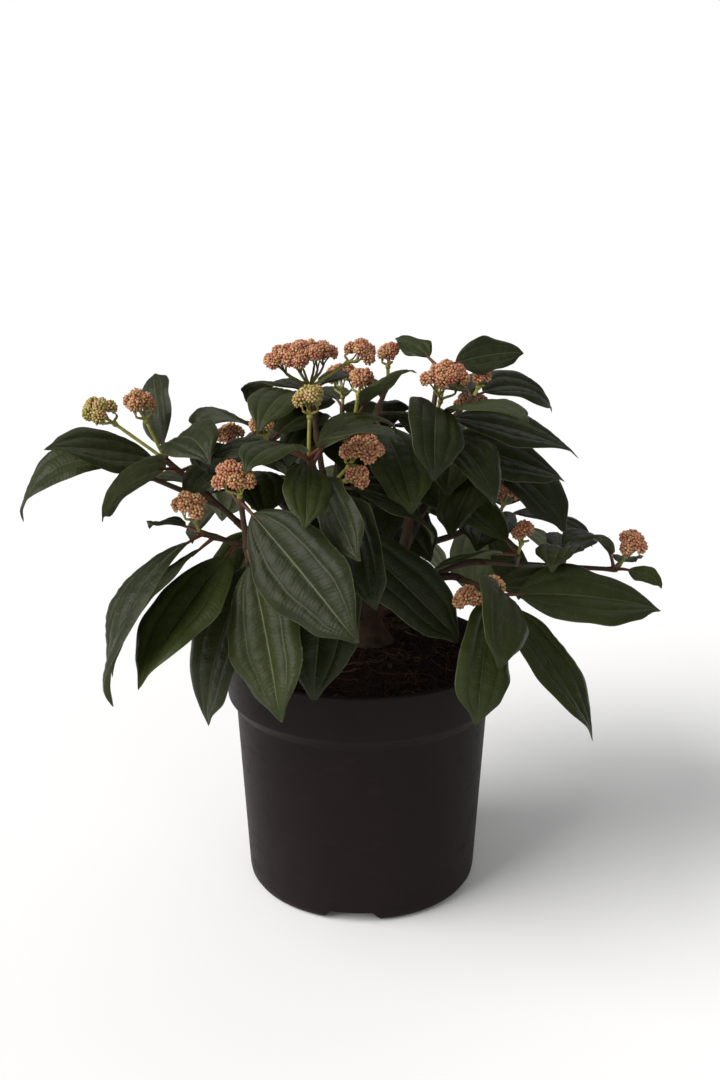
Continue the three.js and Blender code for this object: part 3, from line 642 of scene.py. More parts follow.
def rings_round(path, radius, sides):
    """Circles round a path, square to it: each point is the path's own plus the radius times
    the cosine of its angle to one side and the sine upwards. Radius may vary round a ring."""
    ahead = unit(np.gradient(path, axis=0))
    along = unit(path[-1] - path[0])
    least = np.eye(3)[np.argmin(np.abs(along))]
    aside = unit(np.cross(least, ahead))
    above = np.cross(ahead, aside)
    angle = TURN * np.arange(sides)[:, None] / sides
    spokes = np.cos(angle) * aside[:, None] + np.sin(angle) * above[:, None]
    radius = np.asarray(radius, float)
    if radius.ndim == 1:
        radius = radius[:, None]
    return path[:, None] + spokes * np.broadcast_to(radius, (len(path), sides))[..., None]


def add_rod(piece, path, radius, sides, finish):
    """A closed rod of rings along a path."""
    quads, fans = sleeve_faces(len(path), sides)
    piece.add(sleeve(rings_round(path, radius, sides)), (quads, fans), (finish, finish))


def add_copies(piece, spots, faces, centres, sizes, axes, finishes):
    """Copies of one small shape, each scaled to its size, turned so that its own +Z lies along
    its axis and moved to its centre."""
    axes = unit(axes)
    aside = unit(np.cross(axes, SKEW))
    above = np.cross(axes, aside)
    turned = (spots[:, 0, None] * aside[:, None] + spots[:, 1, None] * above[:, None]
              + spots[:, 2, None] * axes[:, None])
    placed = centres[:, None] + turned * np.reshape(sizes, (len(centres), -1))[:, None]
    steps = np.arange(len(centres))[:, None, None] * len(spots)
    moved = [(face[None] + steps).reshape(-1, face.shape[1]) for face in faces]
    piece.add(placed, moved, [np.repeat(finishes, len(face)) for face in faces])


def small_ball(rows, sides, tall):
    """A ball of unit radius drawn out along +Z: rings at even polar angles, whose radius is
    the angle's sine and whose height its cosine, between two poles."""
    polar = np.pi * (np.arange(rows) + 1) / (rows + 1)
    angle = TURN * np.arange(sides) / sides
    rings = np.stack([np.outer(np.sin(polar), np.cos(angle)),
                      np.outer(np.sin(polar), np.sin(angle)),
                      np.outer(-tall * np.cos(polar), np.ones(sides))], axis=-1)
    poles = np.array([[0, 0, -tall], [0, 0, tall]])
    return np.concatenate([rings.reshape(-1, 3), poles]), sleeve_faces(rows, sides)


def smooth_step(low, high, x):
    """Rises from 0 at low to 1 at high as 3 t^2 - 2 t^3. It falls where low is over high."""
    t = np.clip((x - low) / (high - low), 0, 1)
    return t * t * (3 - 2 * t)


# Finishes: noise is in waves a metre and the height of a relief in metres. Edges are the two
# levels of a noise between which one colour or strength goes over into the other.

PATCH_EDGES = (0.35, 0.65)
RELIEF_FINENESS = 4


class Value:
    """One output in a node tree. Arithmetic on it adds Math nodes."""

    def __init__(self, shading, socket):
        self.shading, self.socket = shading, socket

    def maths(self, operation, first, second=0.0):
        """Adds one Math node."""
        return self.shading.node("ShaderNodeMath", {"operation": operation},
                                 {0: first, 1: second})

    def __add__(self, other):
        return self.maths("ADD", self, other)

    def __radd__(self, other):
        return self.maths("ADD", other, self)

    def __sub__(self, other):
        return self.maths("SUBTRACT", self, other)

    def __rsub__(self, other):
        return self.maths("SUBTRACT", other, self)

    def __mul__(self, other):
        return self.maths("MULTIPLY", self, other)

    def __rmul__(self, other):
        return self.maths("MULTIPLY", other, self)

    def sine(self):
        return self.maths("SINE", self)

    def size(self):
        return self.maths("ABSOLUTE", self)

    def power(self, exponent):
        return self.maths("POWER", self, exponent)


class Shading:
    """A tree of nodes and the one method that adds a node to it."""

    def __init__(self, tree):
        self.tree = tree

    def node(self, kind, settings=(), inputs=(), output=0):
        """Adds a node: its settings first, then the values or links of its sockets. Gives the
        output asked for."""
        made = self.tree.nodes.new(kind)
        for name, value in dict(settings).items():
            setattr(made, name, value)
        for key, value in dict(inputs).items():
            self.feed(made.inputs[key], value)
        return Value(self, made.outputs[output])

    def feed(self, socket, value):
        """Links a value to a socket, or sets a number, vector or colour on it."""
        if isinstance(value, Value):
            self.tree.links.new(value.socket, socket)
        elif isinstance(value, tuple) and len(value) == 3 and socket.type == "RGBA":
            socket.default_value = (*value, 1)
        else:
            socket.default_value = value


class Finish(Shading):
    """A material with one Principled shader."""

    def __init__(self, name, roughness=0.5, gloss=0.5, coat=0.0):
        self.material = bpy.data.materials.new(name)
        self.material.use_nodes = True
        super().__init__(self.material.node_tree)
        self.shader = self.tree.nodes["Principled BSDF"]
        self.set("Roughness", roughness)
        self.set("Specular IOR Level", gloss)
        self.set("Coat Weight", coat)
        self.place = self.node("ShaderNodeTexCoord", output="Object")

    def set(self, name, value):
        """Feeds a socket of the shader."""
        self.feed(self.shader.inputs[name], value)

    def noise(self, scale, detail=3.0, where=None):
        """Noise from 0 to 1 in the object's own space."""
        return self.node("ShaderNodeTexNoise", (), {
            "Vector": where or self.place, "Scale": scale, "Detail": detail})

    def between(self, share, first, second):
        """Two colours mixed by a share."""
        return self.node("ShaderNodeMix", {"data_type": "RGBA"},
                         {0: share, 6: first, 7: second}, output=2)

    def contrast(self, value, low, high):
        """The value drawn out so that low becomes 0 and high becomes 1."""
        return self.node("ShaderNodeMapRange", {"clamp": True}, {
            "Value": value, "From Min": low, "From Max": high})

    def relief(self, height, distance):
        """A bump whose height of 1 stands off by the distance."""
        self.set("Normal", self.node("ShaderNodeBump", (), {
            "Strength": 1.0, "Distance": distance, "Height": height}))


def mottled(name, dark, light, roughness, scale, relief=0.0, gloss=0.5):
    """Two close colours in soft patches, with fine relief where it is wanted."""
    finish = Finish(name, roughness, gloss)
    patches = finish.contrast(finish.noise(scale), *PATCH_EDGES)
    finish.set("Base Color", finish.between(patches, dark, light))
    if relief:
        finish.relief(finish.noise(scale * RELIEF_FINENESS), relief)
    return finish.material


# Upper side of a leaf. The cross veins' pitch and sway are in millimetres, and their lean is
# how far they run on towards the tip for each step aside.
GREEN_WAVES = 55
GREEN_EDGES = (0.3, 0.7)
LEAF_GLOSS = 0.17
LEAF_COAT = 0.01
LEAF_COAT_ROUGHNESS = 0.3
LEAF_ROUGHNESS = 0.33
LEAF_DULLING = 0.24
DULLING_WAVES = 130
LADDER_PITCH = 3.0
LADDER_LEAN = 0.42
LADDER_SWAY = 5.0
SWAY_WAVES = 110
LADDER_POWER = 0.45
LADDER_HEIGHT = 0.00015
FAINT_WAVES = 110
FAINT_EDGES = (0.28, 0.6)
GRAIN_WAVES, GRAIN_HEIGHT = 1500, 0.00005
PEBBLE_WAVES, PEBBLE_HEIGHT = 360, 0.00028
SWELL_WAVES, SWELL_HEIGHT = 75, 0.0010


def leaf_upper(name, dark, light):
    """Leather-like upper side: soft patches of green, uneven gloss, shallow swells, and fine
    cross veins that run out from the midrib as thin grooves, where |sin| of the way along
    the pattern comes near zero. Patches of them are faint."""
    finish = Finish(name, gloss=LEAF_GLOSS, coat=LEAF_COAT)
    finish.set("Coat Roughness", LEAF_COAT_ROUGHNESS)
    patches = finish.contrast(finish.noise(GREEN_WAVES), *GREEN_EDGES)
    finish.set("Base Color", finish.between(patches, dark, light))
    finish.set("Roughness", LEAF_ROUGHNESS + finish.noise(DULLING_WAVES) * LEAF_DULLING)
    pattern = finish.node("ShaderNodeUVMap", {"uv_map": "pattern"})
    along, aside = (finish.node("ShaderNodeSeparateXYZ", (), {0: pattern}, output=axis)
                    for axis in ("X", "Y"))
    sway = finish.noise(SWAY_WAVES, detail=2.0) * LADDER_SWAY
    climb = along - aside.size() * LADDER_LEAN + sway
    grooves = (climb * (np.pi / LADDER_PITCH)).sine().size().power(LADDER_POWER)
    strength = finish.contrast(finish.noise(FAINT_WAVES, detail=1.0), *FAINT_EDGES)
    finish.relief(grooves * strength * LADDER_HEIGHT
                  + finish.noise(GRAIN_WAVES, detail=2.0) * GRAIN_HEIGHT
                  + finish.noise(PEBBLE_WAVES, detail=1.0) * PEBBLE_HEIGHT
                  + finish.noise(SWELL_WAVES, detail=2.0) * SWELL_HEIGHT, 1.0)
    return finish.material


UPPER_GREENS = [
    leaf_upper("leaf upper deep", (0.0116, 0.0154, 0.0039), (0.0176, 0.0225, 0.0054)),
    leaf_upper("leaf upper mid", (0.0176, 0.0228, 0.0050), (0.0258, 0.0327, 0.0070)),
    leaf_upper("leaf upper fresh", (0.0214, 0.0296, 0.0058), (0.0308, 0.0406, 0.0082)),
]
LEAF_DETAILS = [
    mottled("leaf under", (0.060, 0.074, 0.026), (0.085, 0.098, 0.036), 0.6, 120, 0.0001, 0.3),
    mottled("leaf vein", (0.046, 0.056, 0.018), (0.066, 0.074, 0.026), 0.5, 90, gloss=0.3),
    mottled("leaf side vein", (0.024, 0.032, 0.0096), (0.035, 0.044, 0.0138), 0.5, 90, gloss=0.3),
    mottled("leaf rim", (0.042, 0.050, 0.016), (0.062, 0.066, 0.022), 0.5, 90, gloss=0.3),
]
LEAF_FINISHES = UPPER_GREENS + LEAF_DETAILS
UNDER, VEIN, SIDE_VEIN, RIM = range(len(UPPER_GREENS), len(LEAF_FINISHES))
TWIG_FINISHES = [
    mottled("twig bark", (0.036, 0.018, 0.009), (0.062, 0.036, 0.015), 0.6, 180, 0.0002, 0.3),
    mottled("leaf stalk red", (0.095, 0.014, 0.008), (0.080, 0.034, 0.012), 0.45, 150, gloss=0.35),
    mottled("flower stalk", (0.190, 0.185, 0.030), (0.270, 0.250, 0.045), 0.5, 150),
    mottled("flower ray", (0.120, 0.110, 0.026), (0.170, 0.145, 0.038), 0.5, 150),
]
TWIG, LEAF_STALK, FLOWER_STALK, RAY = range(len(TWIG_FINISHES))
BUD_FINISHES = [
    mottled("bud rose", (0.355, 0.114, 0.062), (0.445, 0.178, 0.100), 0.38, 260),
    mottled("bud tan", (0.395, 0.185, 0.074), (0.485, 0.262, 0.112), 0.38, 260),
    mottled("bud cream", (0.485, 0.290, 0.148), (0.585, 0.380, 0.212), 0.38, 260),
    mottled("bud green", (0.270, 0.245, 0.052), (0.380, 0.335, 0.085), 0.38, 260),
    mottled("bud stalks", (0.130, 0.065, 0.024), (0.180, 0.095, 0.036), 0.7, 260),
]
BUD_STALKS = len(BUD_FINISHES) - 1


# Leaves

# Where the vertices stand across a blade, as shares of its half width. The narrow strips
# between two of them are the midrib, the side veins and the rim.
LEAF_ROWS = 44
MIDRIB_EDGE = 0.018
SIDE_VEIN_EDGES = (0.478, 0.502)
RIM_EDGE = 0.97
HALF_COLUMNS = np.array([MIDRIB_EDGE, 0.08, 0.19, 0.32, 0.43, *SIDE_VEIN_EDGES, 0.56, 0.68, 0.82,
                         0.93, RIM_EDGE])
TOP_COLUMNS = np.concatenate([[1], HALF_COLUMNS[::-1], -HALF_COLUMNS, [-1]])
LOW_COLUMNS = -TOP_COLUMNS[1:-1]

# The blade's body: its thickness, how much of it the tip loses, and the ribs of the under side
# as (height, share of the half width, spread)
LEAF_THICKNESS = 0.6
TIP_THINNING = 0.4
EDGE_POWER = 6
RIBS = ((0.5, 0.0, 0.035), (0.25, 0.49, 0.03))
BASE_HALF_WIDTH = 0.9
TIP_PINCH = 0.34
PINCH_STARTS, PINCH_ENDS = 0.8, 0.95

# The upper side: rises, falls and sinks are shares of the half width, the pitch of the ripple
# is in millimetres and its step in radians. A wander or a slow part is (share, pace).
FOLD_SHARE = 0.8
FOLD_ROUNDING = 0.004
FOLD_SINK = 0.063
QUILT_RISE = 0.073
QUILT_POWER = 0.75
QUILT_LOSS = 0.4
QUILT_LOSS_STARTS, QUILT_LOSS_ENDS = 0.5, 0.8
RIPPLE_SHARE = 0.2
RIPPLE_PITCH = 9.5
RIPPLE_LEAN = 0.45
RIPPLE_STEP = 2.1
RIPPLE_WANDER = (1.3, 0.31)
RIPPLE_SLOW = (0.4, 0.43)
MARGIN_FALL = 0.12
MARGIN_STARTS = 0.72

# Waves, twist and sweep, which differ from leaf to leaf. The heights of the wave, the hook and
# the sweep are in millimetres. A lobe of the edge is (share of the edge's wave, waves in a
# blade, step between the two sides in waves, multiple of the leaf's own angle).
WAVE_HEIGHT = 2.2
WAVES_ALONG = 1.4
WAVE_STEP = 1.3
WAVE_RISES = (0, 0.3)
LEAST_WAVE = 0.3
EDGE_WAVE = 0.06
EDGE_RISES = (0.12, 0.35)
EDGE_LOBES = ((1.0, 1.7, 0.27, 2), (0.4, 3.9, -0.2, 1))
TIP_TWIST = 0.42
TWIST_STARTS = 0.45
TIP_HOOK = 2.2
HOOK_STARTS = 0.9
LEAF_SWEEP = 3.0
FADE_STARTS = 0.8

# The draws of greens and habits, and which masses share a piece
LEAF_SEED = 13393
GREEN_SHARES = (0.4, 0.42, 0.18)
LEAF_PIECES = {
    "leaves_left": ("left_low", "left", "front_left", "back_left", "low_back_left"),
    "leaves_middle": ("front", "top_left", "top", "back", "low_back"),
    "leaves_right": ("top_right", "right_front", "right", "back_right", "low_back_right"),
}


def habit_of(phase):
    """How one leaf waves, twists and sweeps: sines of multiples of its own random angle."""
    return SimpleNamespace(phase=phase,
                           wave=LEAST_WAVE + (1 - LEAST_WAVE) * np.sin(3 * phase) ** 2,
                           twist=TIP_TWIST * np.sin(5 * phase),
                           sweep=LEAF_SWEEP * np.sin(2 * phase + 1))


def swell_and_fade(x, low, high):
    """Rises from 0 to 1 between two shares of the blade and fades out again by its tip."""
    return smooth_step(low, high, x) * smooth_step(1, FADE_STARTS, x)


def edge_swell(x, side, habit):
    """How much wider or narrower each side of a blade is than its plain outline: a sum of
    sines of the way along, out of step on the two sides."""
    lobes = sum(high * np.sin(TURN * (waves * x + step * side) + times * habit.phase)
                for high, waves, step, times in EDGE_LOBES)
    return 1 + EDGE_WAVE * lobes * swell_and_fade(x, *EDGE_RISES)


def quilt(aside, side, wide, along, habit):
    """Two swellings on each side, between the midrib, the side vein and the margin, as a
    power of |sin 2 pi aside|, the outer one lower. They ripple along the leaf between the
    larger cross veins, as a sine whose phase wanders with a slower one."""
    swell = QUILT_RISE * np.abs(np.sin(TURN * aside)) ** QUILT_POWER
    swell = swell * (1 - QUILT_LOSS * smooth_step(QUILT_LOSS_STARTS, QUILT_LOSS_ENDS, aside))
    climb = TURN * (along - RIPPLE_LEAN * aside * wide) / RIPPLE_PITCH + RIPPLE_STEP * side
    wander = RIPPLE_WANDER[0] * np.sin(RIPPLE_WANDER[1] * climb + habit.phase)
    slow = RIPPLE_SLOW[0] * np.sin(RIPPLE_SLOW[1] * climb + habit.phase)
    return swell * (1 + RIPPLE_SHARE * (np.sin(climb + wander) + slow))


def leaf_relief(x, v, wide, along, habit):
    """How far the upper side stands off the leaf's arc: a shallow fold with a rounded crease,
    the quilted panels, a margin that falls, a twist towards the tip that lifts one side and
    lowers the other, a slow wave of the edge and a tip that hooks down."""
    aside, side = np.abs(v), np.sign(v)
    fold = FOLD_SHARE * np.sin(LEAF_FOLD) * (np.sqrt(aside ** 2 + FOLD_ROUNDING) - FOLD_SINK)
    panels = quilt(aside, side, wide, along, habit)
    fall = MARGIN_FALL * smooth_step(MARGIN_STARTS, 1, aside)
    twist = habit.twist * smooth_step(TWIST_STARTS, 1, x) * v
    wave = np.sin(TURN * WAVES_ALONG * x + habit.phase + WAVE_STEP * side) * aside ** 3
    wave = WAVE_HEIGHT * habit.wave * wave * swell_and_fade(x, *WAVE_RISES)
    hook = TIP_HOOK * smooth_step(HOOK_STARTS, 1, x)
    return wide * (fold + panels - fall + twist) + wave - hook


def leaf_strips(v, under, green):
    """The finish of each strip of faces across a leaf's sleeve."""
    middles = np.abs(v + np.roll(v, -1)) / 2
    midrib, rim = middles < MIDRIB_EDGE, middles > RIM_EDGE
    side_vein = (middles > SIDE_VEIN_EDGES[0]) & (middles < SIDE_VEIN_EDGES[1])
    top = np.select([midrib, side_vein, rim], [VEIN, SIDE_VEIN, RIM], green)
    low = np.select([midrib, rim], [VEIN, RIM], UNDER)
    return np.where(under | np.roll(under, -1), low, top)


def add_leaf(piece, leaf, green, phase):
    """A blade as a flat sleeve: the upper side across, then the under side back. The under
    side lies one thickness below, thins to nothing at the margin and carries the ribs. Near
    the tip the blade is drawn in to a point, and it sweeps aside as the square of the way."""
    habit = habit_of(phase)
    x = np.linspace(0, 1, LEAF_ROWS)[:, None]
    s = leaf.root + (1 - leaf.root) * x
    v = np.concatenate([TOP_COLUMNS, LOW_COLUMNS])
    under = np.arange(v.size) >= len(TOP_COLUMNS)
    aside = np.abs(v)
    drawn_in = 1 - TIP_PINCH * smooth_step(PINCH_STARTS, PINCH_ENDS, x)
    wide = half_width(leaf, s) * drawn_in * edge_swell(x, np.sign(v), habit)
    wide = np.maximum(wide, BASE_HALF_WIDTH * (1 - x))
    body = LEAF_THICKNESS * (1 - aside ** EDGE_POWER) * (1 - TIP_THINNING * x)
    ribs = sum(high * np.exp(-((aside - place) / spread) ** 2) for high, place, spread in RIBS)
    lifted = leaf_relief(x, v, wide, x * leaf.length, habit)
    lifted = lifted - under * (body + ribs * np.sqrt(1 - x))
    rings = on_leaf(leaf, s, v * wide * np.cos(LEAF_FOLD) + habit.sweep * x ** 2, lifted)
    pattern = np.stack(np.broadcast_arrays(x * leaf.length, v * wide), axis=-1).reshape(-1, 2)
    quads, fans = sleeve_faces(LEAF_ROWS, v.size)
    finishes = np.tile(leaf_strips(v, under, green), LEAF_ROWS - 1)
    piece.add(sleeve(rings), (quads, fans), (finishes, VEIN),
              np.concatenate([pattern, pattern[:1], pattern[-1:]]))


def dress_leaves():
    """Leaves, each with one of the greens and its own habit by random draws."""
    chance = np.random.default_rng(LEAF_SEED)
    for piece_name, names in LEAF_PIECES.items():
        piece = Piece(piece_name)
        chosen = [mass for mass in masses if mass.name in names]
        for mass in chosen:
            for leaf, _ in mass.grown:
                green = chance.choice(len(UPPER_GREENS), p=GREEN_SHARES)
                add_leaf(piece, leaf, green, chance.uniform(0, TURN))
        made = piece.build(LEAF_FINISHES)
        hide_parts(*(mass.name + "_spray" for mass in chosen))


# Twigs, leaf stalks and flower stalks

TWIG_SIDES = 10
TWIG_STEP = 2.5
LEAST_TWIG_RINGS = 8
TWIG_THINNING = 0.2
NODE_SWELL = 0.4
NODE_LENGTH = 3.5

# A leaf stalk runs on under its blade to this multiple of the petiole's length. Its radius is
# first - loss x + swell exp(-(x / swell length)^2), in shares of the petiole's.
LEAF_STALK_SIDES = 8
LEAF_STALK_RINGS = 9
LEAF_STALK_REACH = 1.6
LEAF_STALK_SINK = 0.35
LEAF_STALK_FIRST = 1.25
LEAF_STALK_LOSS = 0.45
LEAF_STALK_SWELL = 0.5
LEAF_STALK_SWELL_LENGTH = 0.12


def twig_radius(curve, along, leaves):
    """A straight taper, swollen where leaves leave it as exp(-(distance / node length)^2)."""
    taper = tapering(STEM_RADIUS, TWIG_RADIUS - TWIG_THINNING)(along)
    away = (along[:, None] - leaves[None]) * curve.length / NODE_LENGTH
    return taper * (1 + NODE_SWELL * np.exp(-away ** 2).max(axis=1, initial=0))


def add_twig(piece, curve, twig):
    """A twig from its parting to its tip."""
    shares = [pose[0] for pose in twig.posed]
    shares += [PAIR_TOP - PAIR_STEP * pair for pair in range(twig.pairs)]
    along = np.linspace(0, 1, max(LEAST_TWIG_RINGS, int(curve.length / TWIG_STEP)))
    radius = twig_radius(curve, along, np.array(shares, float))
    add_rod(piece, curve.at(along), radius, TWIG_SIDES, TWIG)


def add_leaf_stalk(piece, leaf):
    """A stalk that follows the leaf's arc, swollen at the twig, and sinks below the blade."""
    along = np.linspace(0, LEAF_STALK_REACH, LEAF_STALK_RINGS)
    path = on_leaf(leaf, leaf.root * along, 0, -LEAF_STALK_SINK * along)
    swell = LEAF_STALK_SWELL * np.exp(-(along / LEAF_STALK_SWELL_LENGTH) ** 2)
    thick = LEAF_STALK_FIRST - LEAF_STALK_LOSS * along + swell
    add_rod(piece, path, PETIOLE_RADIUS * thick, LEAF_STALK_SIDES, LEAF_STALK)


def dress_twigs():
    """Twigs, leaf stalks and flower stalks, mass by mass."""
    piece = Piece("twigs")
    for mass in masses:
        for curve, twig in zip(mass.curves, mass.twigs):
            add_twig(piece, curve, twig)
        for leaf, _ in mass.grown:
            add_leaf_stalk(piece, leaf)
        for curve, twig in zip(mass.curves, mass.twigs):
            for head in twig.heads:
                add_stalk(piece, curve.end, head_shape(curve.end, head))
    made = piece.build(TWIG_FINISHES)
    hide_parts(*(mass.name + "_spray" for mass in masses))


# Flower heads

CLUSTER_RADIUS = 4.2
CLUSTERS_PER_AREA = {"plain": 0.84, "wide": 0.72}
CLUSTER_STAGGER = 1.1
STAGGER_STEP = 2.7
DOME_SHARE = {"plain": 0.78, "wide": 0.34}
DOME_ROUNDING = 1.04
DOME_SINK = 0.42
GOLDEN_TURN = np.pi * (3 - np.sqrt(5))
GOLDEN_START = 0.4

# Forks and rays: the forks' height and reach as shares of the head, the rays' bends as shares
# of the rise from the neck to the centre
FORK_COUNT = {"plain": 4, "wide": 8}
FORK_HEIGHT = {"plain": 0.4, "wide": 0.62}
FORK_REACH = 0.5
STALK_SIDES = 8
STALK_RINGS = 6
STALK_OVERLAP = 0.02
KNUCKLE_SHARE = 1.7
KNUCKLE_LENGTH = 1.2
RAY_SIDES = 7
RAY_RINGS = 5
RAY_FOOT_SHARE = 1.3
RAY_BEND = (0.25, 0.12)
THIN_RAY_SIDES = 6
THIN_RAY_RADIUS = 0.55
THIN_RAY_OUT = 0.3
THIN_RAY_BEND = (0.08, 0.1)

# Buds are small ovals over a core. Their cover is how far down the cluster they reach, of its
# whole height of 2, and depths and sizes are the ranges of their draws.
BUDS_IN_CLUSTER = 45
BUD_RADIUS = 1.12
BUD_ROUNDS, BUD_SIDES = 2, 5
BUD_LENGTH = 1.2
BUD_COVER = 1.5
BUD_SCATTER = 0.07
BUD_DEPTHS = (0.9, 1.06)
BUD_SIZES = (0.82, 1.15)
BUD_SKEW = (0.2, 0.9, 0.3)
BUD_SEED = 23
CORE_ROUNDS, CORE_SIDES = 3, 7
CORE_SHARE = 0.82

# Shares of rose, tan, cream and green buds in a head, and the heads that aren't rose
HEAD_TINTS = {
    "rose": (0.52, 0.32, 0.16, 0.00),
    "tan": (0.22, 0.50, 0.24, 0.04),
    "green": (0.02, 0.14, 0.20, 0.64),
}
GREEN_HEADS = ((-170, -25, 341), (-32, -72, 358))
TAN_HEADS = ((-144, -30, 347), (84, -70, 237), (67, -78, 232), (-66, -20, 331), (-108, -70, 290))
HEAD_PIECES = {
    "buds_left": ("left_low", "left", "front_left", "front", "top_left", "back_left",
                  "low_back_left"),
    "buds_right": ("top", "top_right", "right_front", "right", "back", "back_right", "low_back",
                   "low_back_right"),
}


def head_shape(start, head):
    """A head's centre, the neck where its rays part, its own up direction, its radius, its
    kind and the shares of its buds' colours. Its stalk starts at the start."""
    *centre, radius = head
    centre = np.array(centre, float)
    along = unit(centre - start)
    tint = "green" if head[:3] in GREEN_HEADS else "tan" if head[:3] in TAN_HEADS else "rose"
    return SimpleNamespace(centre=centre, neck=centre - along * radius * NECK_SHARE,
                           up=unit(along + UP), radius=radius,
                           kind="wide" if radius > WIDE_HEAD else "plain",
                           tints=HEAD_TINTS[tint])


def spokes_round(up, angle):
    """Directions at the given angles round an axis, square to it."""
    side = unit(np.cross((1.0, 0.0, 0.0), up))
    front = np.cross(up, side)
    return np.cos(angle)[:, None] * side + np.sin(angle)[:, None] * front


def cluster_centres(shape):
    """Bud clusters over a low dome by the golden turn: cluster k of n lies sqrt(k / n) of the
    way out, and the dome stands there as high as sqrt(c - k / n). Their number goes with the
    head's area."""
    count = int(np.ceil(CLUSTERS_PER_AREA[shape.kind] * (shape.radius / CLUSTER_RADIUS) ** 2))
    number = np.arange(count)
    share = np.sqrt((number + GOLDEN_START) / count)
    out = spokes_round(shape.up, GOLDEN_TURN * number + shape.centre[0])
    reach = shape.radius - CLUSTER_RADIUS
    dome = DOME_SHARE[shape.kind] * shape.radius
    lift = dome * (np.sqrt(DOME_ROUNDING - share ** 2) - DOME_SINK)
    lift += CLUSTER_STAGGER * np.sin(STAGGER_STEP * number + shape.centre[2])
    return shape.centre + out * (share * reach)[:, None] + shape.up * lift[:, None]


def fork_places(shape):
    """Where the rays fork below the clusters: one under the middle, the others in a ring."""
    count = FORK_COUNT[shape.kind] - 1
    out = spokes_round(shape.up, TURN * np.arange(count) / count + shape.centre[1])
    middle = shape.neck + (shape.centre - shape.neck) * FORK_HEIGHT[shape.kind]
    return np.concatenate([middle[None], middle + out * shape.radius * FORK_REACH])


def add_stalk(piece, start, shape):
    """The stalk up to the neck, a knuckle there, rays to a few forks and from each fork a
    thinner ray to every cluster over it."""
    neck = shape.neck
    stalk = Line(start, neck).at(np.linspace(-STALK_OVERLAP, 1, STALK_RINGS))
    add_rod(piece, stalk, STALK_RADIUS, STALK_SIDES, FLOWER_STALK)
    ball, faces = small_ball(CORE_ROUNDS, STALK_SIDES, KNUCKLE_LENGTH)
    add_copies(piece, ball, faces, neck[None], STALK_RADIUS * KNUCKLE_SHARE,
               (neck - start)[None], np.array([FLOWER_STALK]))
    forks = fork_places(shape)
    rise = shape.centre - neck
    finish = RAY if shape.kind == "wide" else FLOWER_STALK
    along = np.linspace(0, 1, RAY_RINGS)
    thick = tapering(RAY_RADIUS * RAY_FOOT_SHARE, RAY_RADIUS)(along)
    for fork in forks:
        path = Bend(neck, neck + rise * RAY_BEND[0], fork - rise * RAY_BEND[1], fork)
        add_rod(piece, path.at(along), thick, RAY_SIDES, finish)
    for end in cluster_centres(shape):
        fork = forks[np.argmin(np.linalg.norm(forks - end, axis=1))]
        path = Bend(fork, fork + (end - fork) * THIN_RAY_OUT + rise * THIN_RAY_BEND[0],
                    end - rise * THIN_RAY_BEND[1], end)
        add_rod(piece, path.at(along), np.full(RAY_RINGS, THIN_RAY_RADIUS), THIN_RAY_SIDES, finish)


def add_buds(piece, middle, shape, chance):
    """Buds round one cluster by the golden turn: bud k of n stands at height 1 - cover k / n
    of a unit ball, so they are evenly spread over its upper part."""
    outward = unit(unit(middle - shape.centre) + shape.up)
    across = unit(np.cross(outward, unit(np.cross(shape.up, BUD_SKEW))))
    number = np.arange(BUDS_IN_CLUSTER)
    high = 1 - BUD_COVER * (number + 0.5) / BUDS_IN_CLUSTER
    angle = GOLDEN_TURN * number + chance.uniform(0, TURN)
    flat = np.sqrt(1 - high ** 2)
    ways = (np.cos(angle) * flat)[:, None] * unit(np.cross(across, outward))
    ways = ways + (np.sin(angle) * flat)[:, None] * across + high[:, None] * outward
    ways = unit(ways + chance.normal(0, BUD_SCATTER, ways.shape))
    depth = CLUSTER_RADIUS * chance.uniform(*BUD_DEPTHS, (BUDS_IN_CLUSTER, 1))
    sizes = BUD_RADIUS * chance.uniform(*BUD_SIZES, BUDS_IN_CLUSTER)
    kinds = chance.choice(len(shape.tints), BUDS_IN_CLUSTER, p=shape.tints)
    bud, faces = small_ball(BUD_ROUNDS, BUD_SIDES, BUD_LENGTH)
    add_copies(piece, bud, faces, middle + ways * depth, sizes, ways, kinds)


def add_head(piece, shape, chance):
    """Each cluster is a core of the colour of its stalks with small buds round it."""
    centres = cluster_centres(shape)
    count = len(centres)
    ball, faces = small_ball(CORE_ROUNDS, CORE_SIDES, 1.0)
    add_copies(piece, ball, faces, centres, np.full(count, CLUSTER_RADIUS * CORE_SHARE),
               np.tile(shape.up, (count, 1)), np.full(count, BUD_STALKS))
    for middle in centres:
        add_buds(piece, middle, shape, chance)


def dress_heads():
    """Flower heads in bud, mass by mass."""
    chance = np.random.default_rng(BUD_SEED)
    for piece_name, names in HEAD_PIECES.items():
        piece = Piece(piece_name)
        chosen = [mass for mass in masses if mass.name in names]
        for mass in chosen:
            for curve, twig in zip(mass.curves, mass.twigs):
                for head in twig.heads:
                    add_head(piece, head_shape(curve.end, head), chance)
        made = piece.build(BUD_FINISHES)
        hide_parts(*(mass.name + "_spray" for mass in chosen))


# Trunk and boughs

LIMB_SIDES = {"trunk": 44, "bough": 18}
LIMB_STEP = 1.1
LEAST_LIMB_RINGS = 4

# Ridges as (turns round the limb, turn in radians for each millimetre up it, phase)
BARK_RELIEF = 0.055
BARK_RIDGES = ((5, 0.11, 0.6), (9, 0.23, 2.1), (14, 0.37, 4.0), (3, 0.05, 1.2), (21, 0.61, 5.2))
RIDGE_SWAY = 0.9
RIDGE_SWAY_PACE = 0.7
BARK_WAVES, BARK_EDGES = 140, (0.35, 0.68)
WARM_WAVES, WARM_EDGES = 45, (0.45, 0.75)
WARM_SHARE = 0.6
FURROW_WAVES, FURROW_DEPTH = 420, 0.0007


